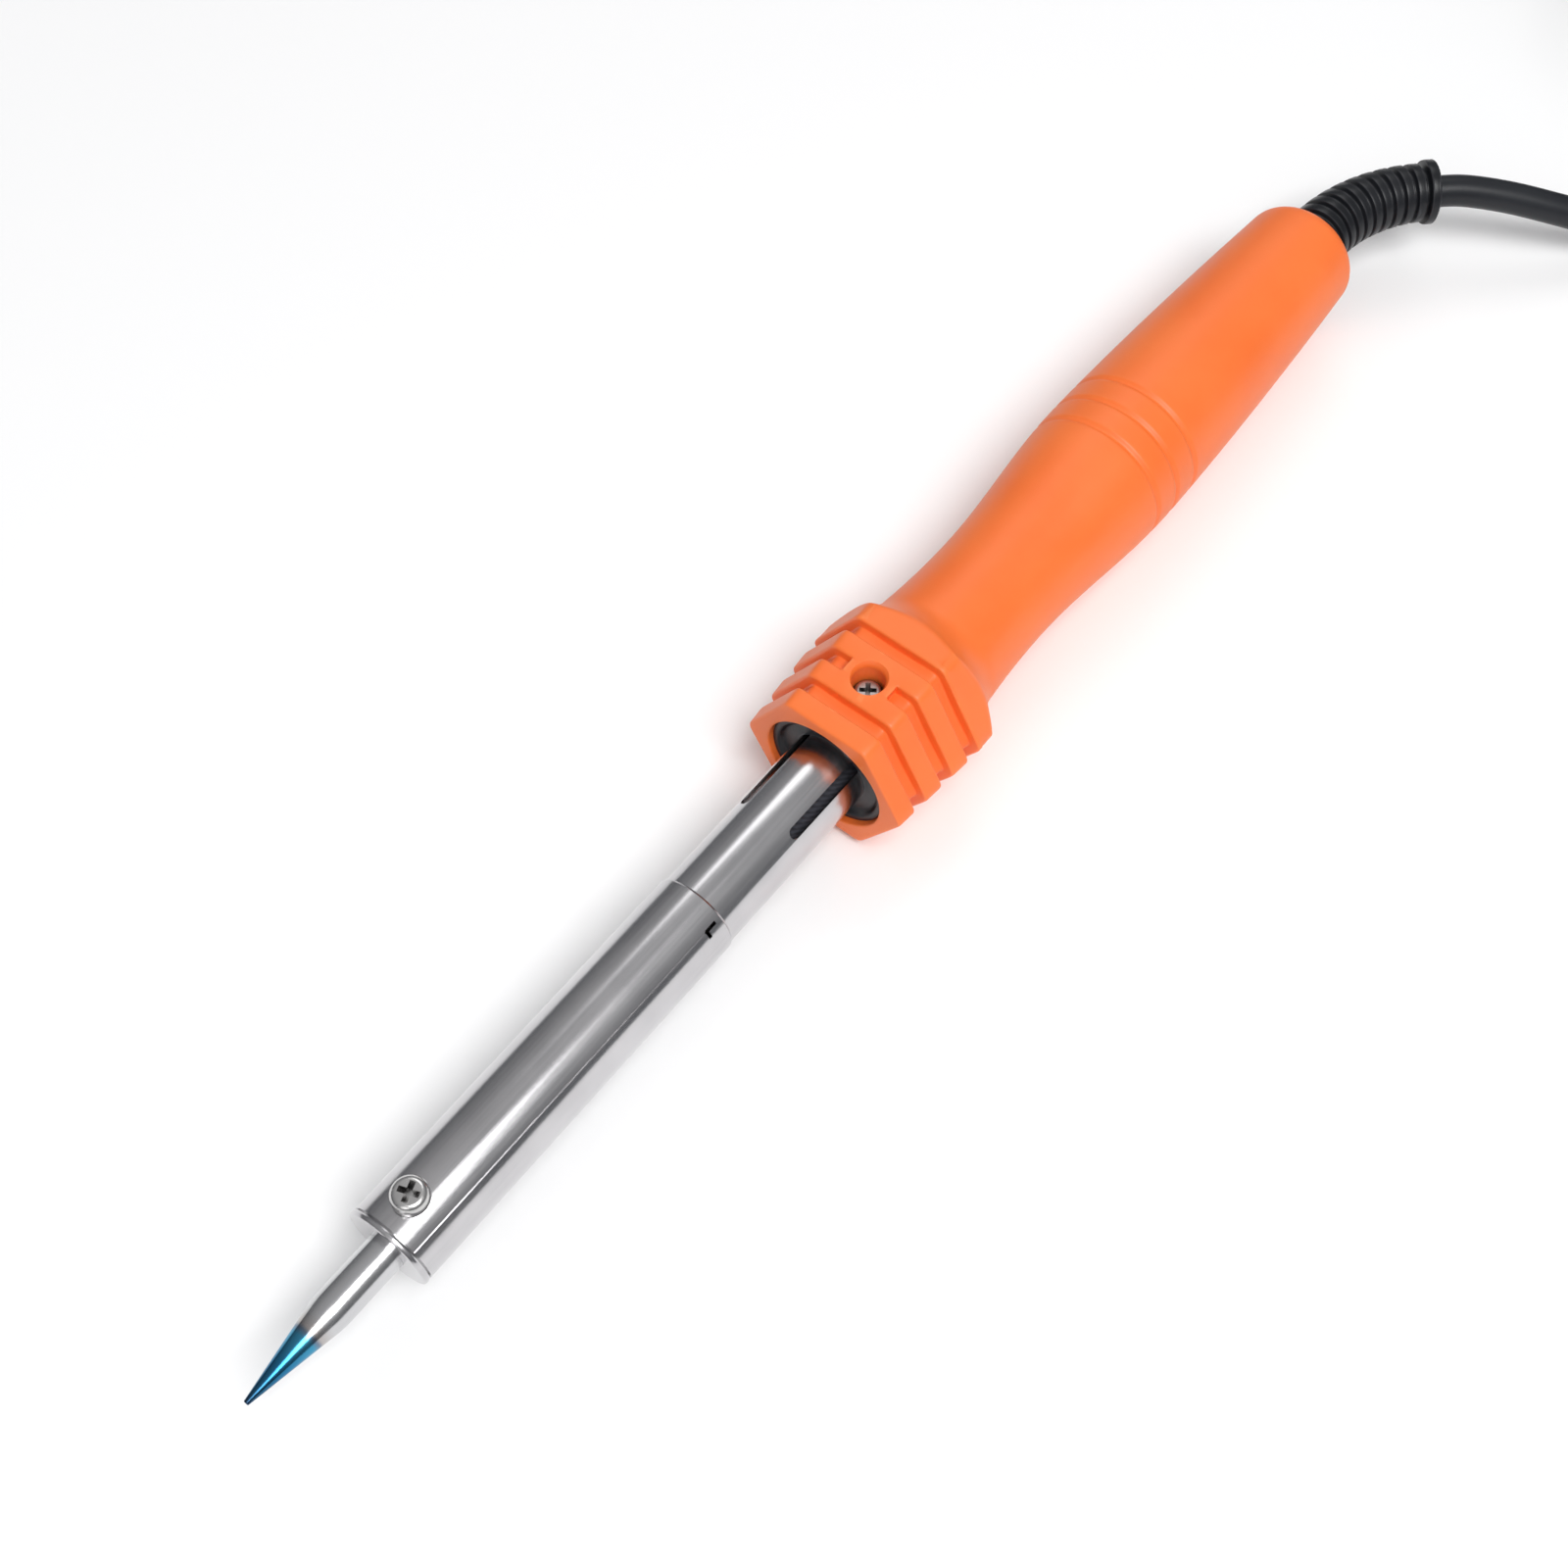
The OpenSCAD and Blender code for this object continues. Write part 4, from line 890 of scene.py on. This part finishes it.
clamp_hole = turned("clamp_hole", [(0, 0), (0, CLAMP_R), (6, CLAMP_R), (6, 0)], clamp_start, UP, sides=32)
tidy_mesh(dished_bushing)
tidy_mesh(clamp_hole)
carve(dished_bushing, clamp_hole)
tidy_mesh(dished_bushing)
dress(dished_bushing, "black_bushing", "iron", "barrel_bushing")
print("bushing faces:", len(dished_bushing.data.polygons))

# %% [markdown]
# ## The strain relief
# Where the cord leaves, a rubber sleeve keeps it from bending sharply. It is a stack of thick
# ribs on a thinner core, and a larger collar closes it. The rings follow a line that is straight
# inside the handle and then bends, and each has the radius that the outline gives at that place.

# %% Relief outline
RIBS = 11
ROOT_R, END_R, RIB_DEPTH = 6.05, 5.2, 0.85
RELIEF_L = RELIEF_STRAIGHT + RELIEF_BEND_R * RELIEF_BEND
RIB_PITCH = (RELIEF_L - 0.6) / RIBS


def rib_profile(share):
    """Height of a rib over its groove, 0 to 1, across one pitch."""
    groove = 0.42
    if share < groove:
        return abs(2 * share / groove - 1) ** 3
    bow = (share - groove) / (1 - groove)
    return 1 - 0.10 * (2 * bow - 1) ** 4


relief_outline = []
steps = 14
for i in range(RIBS):
    for k in range(steps):
        share = k / steps
        base = ROOT_R + (END_R - ROOT_R) * (i + share) / RIBS
        top = END_R + 0.6 if i == RIBS - 1 and share > 0.42 else base
        height = rib_profile(share)
        core = base - RIB_DEPTH
        relief_outline.append(((i + share) * RIB_PITCH + 0.15, core + (top - core) * height))
print("relief outline points:", len(relief_outline))

# %% [markdown]
# The collar at the free end is the last rib, drawn 0.6 mm larger, and its face is rounded in
# towards the cord. The bore fits the cord, and a flange inside the handle keeps it from pulling.


# %% Relief piece
def relief_place(s):
    """Point of the relief's centre line at distance s from the handle's end, and the way it faces."""
    if s <= RELIEF_STRAIGHT:
        return Vector((BEND_X - RELIEF_STRAIGHT + s, 0, AXIS_H)), Vector((1, 0, 0))
    a = (s - RELIEF_STRAIGHT) / RELIEF_BEND_R
    spot = Vector((BEND_X + RELIEF_BEND_R * sin(a), -RELIEF_BEND_R * (1 - cos(a)), AXIS_H))
    return spot, Vector((cos(a), -sin(a), 0))


INSIDE_WALL = -6.05
FLANGE_R, FLANGE_T = 7.8, 3.0
bore = CORD_D / 2 + 0.02
end_r = END_R + 0.6
relief_end = [(RELIEF_L - 0.45, end_r), (RELIEF_L - 0.25, end_r - 0.12), (RELIEF_L - 0.08, end_r - 0.4),
              (RELIEF_L, end_r - 0.8), (RELIEF_L, bore + 0.3), (RELIEF_L - 0.2, bore)]
relief_bore = [(RELIEF_L * k / 16 - 0.2, bore) for k in range(15, 0, -1)]
relief_root = [(INSIDE_WALL - FLANGE_T, bore), (INSIDE_WALL - FLANGE_T, FLANGE_R - 0.3),
               (INSIDE_WALL - FLANGE_T + 0.3, FLANGE_R), (INSIDE_WALL - 0.3, FLANGE_R),
               (INSIDE_WALL, FLANGE_R - 0.3), (INSIDE_WALL, ROOT_R), (-0.2, ROOT_R),
               (0.0, ROOT_R - 0.05)]
SIDES = 56
relief_rings = []
for s, r in relief_root + relief_outline + relief_end + relief_bore:
    spot, way = relief_place(s)
    across = way.cross(UP).normalized()
    turns = [2 * pi * k / SIDES for k in range(SIDES)]
    relief_rings.append([(spot + across * r * cos(a) + UP * r * sin(a)) * MM for a in turns])
ribbed_relief = ring_mesh("ribbed_relief", relief_rings, closed=True)
tidy_mesh(ribbed_relief, sharp=50)
dress(ribbed_relief, "relief_rubber", "iron", "strain_relief")
print("relief faces:", len(ribbed_relief.data.polygons))

# %% [markdown]
# ## Screws
# The tip screw is a pan head with a cross recess. A real recess narrows as it goes down, so the
# cutter is two tapered blades. The head's crown is an arc, drawn point by point.


# %% Screw maker
def cross_blade(name, top, width, length, depth, turn):
    """One blade of a cross recess, which narrows downwards. Top is the middle of its upper end."""
    swing = Matrix.Rotation(radians(turn), 3, "Z")
    verts = []
    for z, share in ((0.4, 1.0), (-depth, 0.45)):
        for x, y in corners:
            flat = Vector((x * length / 2 * share, y * width / 2 * (0.5 + share / 2), z))
            verts.append(top + swing @ flat * MM)
    faces = [(3, 2, 1, 0), (4, 5, 6, 7), (0, 1, 5, 4), (1, 2, 6, 5), (2, 3, 7, 6), (3, 0, 4, 7)]
    return simple_mesh(name, verts, faces)


def pan_screw(name, node, slot, body, thread_r, head_r, head_h, turn):
    """A pan-head screw that stands in the box of its node."""
    low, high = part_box(node)
    seat = (high.z - low.z) / MM - head_h
    crown = [(seat + head_h * (0.42 + 0.58 * sin(a)), head_r * (0.62 + 0.38 * cos(a)))
             for a in (k * pi / 24 for k in range(0, 12))]
    body_outline = soften([(0, 0, 0), (0, thread_r, 0.2), (seat, thread_r, 0.1), (seat, head_r, 0.2)])
    outline = body_outline + [(seat, head_r - 0.12), (seat + 0.12, head_r)] + crown
    outline += [(seat + head_h, 0.62 * head_r), (seat + head_h, 0)]
    middle = Vector(((low.x + high.x) / 2, (low.y + high.y) / 2, low.z))
    screw = turned(name, outline, middle, UP, sides=64)
    tidy_mesh(screw)
    top = middle + UP * (seat + head_h) * MM
    blades = [cross_blade(name + "_blade", top, 0.34 * head_r, 1.3 * head_r, 0.62 * head_h, turn + 90 * i)
              for i in (0, 1)]
    for blade in blades:
        tidy_mesh(blade)
    carve(screw, *blades)
    tidy_mesh(screw, sharp=30)
    return dress(screw, slot, body, node)


tip_screw = pan_screw("tip_pan_screw", "tip_screw", "screw_steel", "tip_screw", 1.5, 2.8, 2.2, 20)
clamp = pan_screw("collar_screw", "clamp_screw", "inner_steel", "iron", 1.75, 2.4, 2.0, 35)
print("screw faces:", len(tip_screw.data.polygons), len(clamp.data.polygons))

# %% [markdown]
# ## The tip
# The tip is a plain rod with a long cone. The change from rod to cone is a soft edge on the real
# one, and the point is blunt and a little rounded, so the outline gets both.

# %% Tip piece
TIP_R, TIP_POINT_R, CONE_L = 3.0, 0.45, 15.6
TIP_L = (tip_high.x - tip_low.x) / MM
tip_outline = soften([(0, 0, 0), (0, TIP_POINT_R - 0.05, 0.2), (CONE_L * 0.55, TIP_R * 0.615, 0),
                      (CONE_L, TIP_R, 1.2), (TIP_L - 0.5, TIP_R, 0.3), (TIP_L, TIP_R - 0.5, 0.3),
                      (TIP_L, 0, 0)], 8)
conical_tip = turned("conical_tip", tip_outline, Vector((tip_low.x, 0, AXIS_Z)), ALONG)
tidy_mesh(conical_tip, sharp=50)
dress(conical_tip, "tip_steel", "tip", "soldering_tip")
print("tip length in mm:", round(TIP_L, 1))

# %% [markdown]
# ## The plug and the tie
# The cord ends in a flat two-pin plug that lies on the coil. Its body is a stack of rounded
# rectangles that grow from the tail, with a few ridges for the fingers on the neck. The pins
# have thin sleeves near the body, as the standard asks, and bright ends.


# %% Plug body
def plug_section(x, half_w, half_h, power, count=72):
    """One rounded rectangle across the plug, at distance x from the cord's end."""
    ring = []
    for k in range(count):
        a = 2 * pi * k / count
        c, s = cos(a), sin(a)
        r = (abs(c) ** power + abs(s) ** power) ** (-1 / power)
        ring.append(plug_start + Vector((x, half_w * r * c, half_h * r * s)) * MM)
    return ring


plug_start = Vector((plug_low.x, (plug_low.y + plug_high.y) / 2, (plug_low.z + plug_high.z) / 2))
PLUG_W, PLUG_T = (plug_high.y - plug_low.y) / 2 / MM, (plug_high.z - plug_low.z) / 2 / MM
TAIL_L, BODY_L, NECK_L, TAIL_R = 12.0, 26.0, 10.0, 4.3
sections = []
for k in range(25):
    x = TAIL_L * k / 24
    ridge = 0.35 * max(0, sin(2 * pi * x / 2.4)) if 1 < x < TAIL_L - 1 else 0
    tail = TAIL_R + 0.4 * x / TAIL_L - 0.3 + ridge
    sections.append((x, tail, tail, 2.0))
for k in range(1, 33):
    share = k / 32
    ease = share * share * (3 - 2 * share)
    ridge = -0.45 * max(0, sin(2 * pi * share * 4)) if 0.3 < share < 0.95 else 0
    sections.append((TAIL_L + NECK_L * share, TAIL_R + (PLUG_W - TAIL_R) * ease + ridge,
                     TAIL_R + (PLUG_T - TAIL_R) * min(1, ease * 1.3), 2.0 + 3.5 * ease))
front = TAIL_L + BODY_L
sections += [(front - 1.6, PLUG_W, PLUG_T, 5.5), (front - 0.8, PLUG_W - 0.15, PLUG_T - 0.15, 5.5),
             (front - 0.25, PLUG_W - 0.6, PLUG_T - 0.6, 5.5), (front, PLUG_W - 1.5, PLUG_T - 1.5, 5.5)]
flat_plug = ring_mesh("flat_plug", [plug_section(*row) for row in sections], closed=False)
tidy_mesh(flat_plug, sharp=60)
print("plug faces:", len(flat_plug.data.polygons))

# %% Plug sleeves and pins
pins_low, pins_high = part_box("plug_pins")
PIN_R = (pins_high.z - pins_low.z) / 2 / MM
PIN_PITCH = (pins_high.y - pins_low.y) / MM - 2 * PIN_R
PIN_END = (pins_high.x - plug_start.x) / MM
SLEEVE_R, SLEEVE_L = 1.7, 10.0
for i, side in enumerate((-1, 1)):
    pin_start = plug_start + Vector((0, side * PIN_PITCH / 2 * MM, 0))
    sleeve_outline = soften([(front - 1, 0, 0), (front - 1, SLEEVE_R + 0.5, 0),
                             (front + 0.3, SLEEVE_R + 0.5, 0.3), (front + 0.5, SLEEVE_R, 0.3),
                             (front + SLEEVE_L, SLEEVE_R, 0.2), (front + SLEEVE_L, 0, 0)])
    sleeve = turned(f"pin_sleeve_{i + 1}", sleeve_outline, pin_start, ALONG, sides=40)
    tidy_mesh(sleeve)
    dress(sleeve, "plug_plastic", "iron")
    bare = front + SLEEVE_L + 0.03
    pin_outline = soften([(bare, 0, 0), (bare, PIN_R, 0.2), (PIN_END - 1, PIN_R, 0.6),
                          (PIN_END, PIN_R - 1, 0.7), (PIN_END, 0, 0)])
    pin = turned(f"bright_pin_{i + 1}", pin_outline, pin_start, ALONG, sides=40)
    tidy_mesh(pin)
    dress(pin, "pin_metal", "iron", "plug_pins")
dress(flat_plug, "plug_plastic", "iron", "plug_body")
print("pin pitch in mm:", round(PIN_PITCH, 2))

# %% [markdown]
# The tie is a flat rubber strap that hugs the turns on one side of the coil. Its section is a
# soft slab, swept round a rounded rectangle. It stands 0.3 mm off the cord, so nothing touches.

# %% Coil tie
tie_low, tie_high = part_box("coil_tie")
TIE_T = 1.2
tie_middle = (tie_low + tie_high) / 2
TIE_W = (tie_high.y - tie_low.y) / MM
half_x = (tie_high.x - tie_low.x) / 2 / MM - TIE_T / 2
half_z = (tie_high.z - tie_low.z) / 2 / MM
# the strap's underside lies on the table, so the loop is closed under the lowest turn
loop_corners = [(0, half_z - TIE_T / 2, 0), (half_x, half_z - TIE_T / 2, 3.0), (half_x, -half_z + 0.3, 0.2)]
loop = [Vector((x, 0, z)) for x, z in soften(loop_corners, 10)]
loop = [Vector((-p.x, 0, p.z)) for p in reversed(loop[1:])] + loop
tie_rings = []
for i, spot in enumerate(loop):
    way = (loop[min(i + 1, len(loop) - 1)] - loop[max(i - 1, 0)]).normalized()
    outward = Vector((way.z, 0, -way.x)) * -1
    ring = []
    for k in range(24):
        a = 2 * pi * k / 24
        c, s = cos(a), sin(a)
        r = (abs(c) ** 4 + abs(s) ** 4) ** -0.25
        offset = Vector((0, TIE_W / 2 * r * c, 0)) + outward * TIE_T / 2 * r * s
        ring.append(tie_middle + (spot + offset) * MM)
    tie_rings.append(ring)
strap = ring_mesh("coil_strap", tie_rings, closed=False)
tidy_mesh(strap, sharp=60)
dress(strap, "relief_rubber", "iron", "coil_tie")
print("strap faces:", len(strap.data.polygons))

# %% [markdown]
# ## Finish the cord
# The cord stands for the frame's plain tubes and its coil, which it hides, and it gets its
# rubber finish. The pieces that go with it are gathered in a list.

dress(mains_cord, "cord_rubber", "iron", "cord_tube", "cord_coil", "cord_end")
along_cord = [ribbed_relief, flat_plug, strap, nodes["inner_cord"]]
pin_names = ("pin_sleeve", "bright_pin")
along_cord += [obj for obj in bpy.context.scene.objects if obj.name.startswith(pin_names)]
print("pieces on the cord:", len(along_cord))
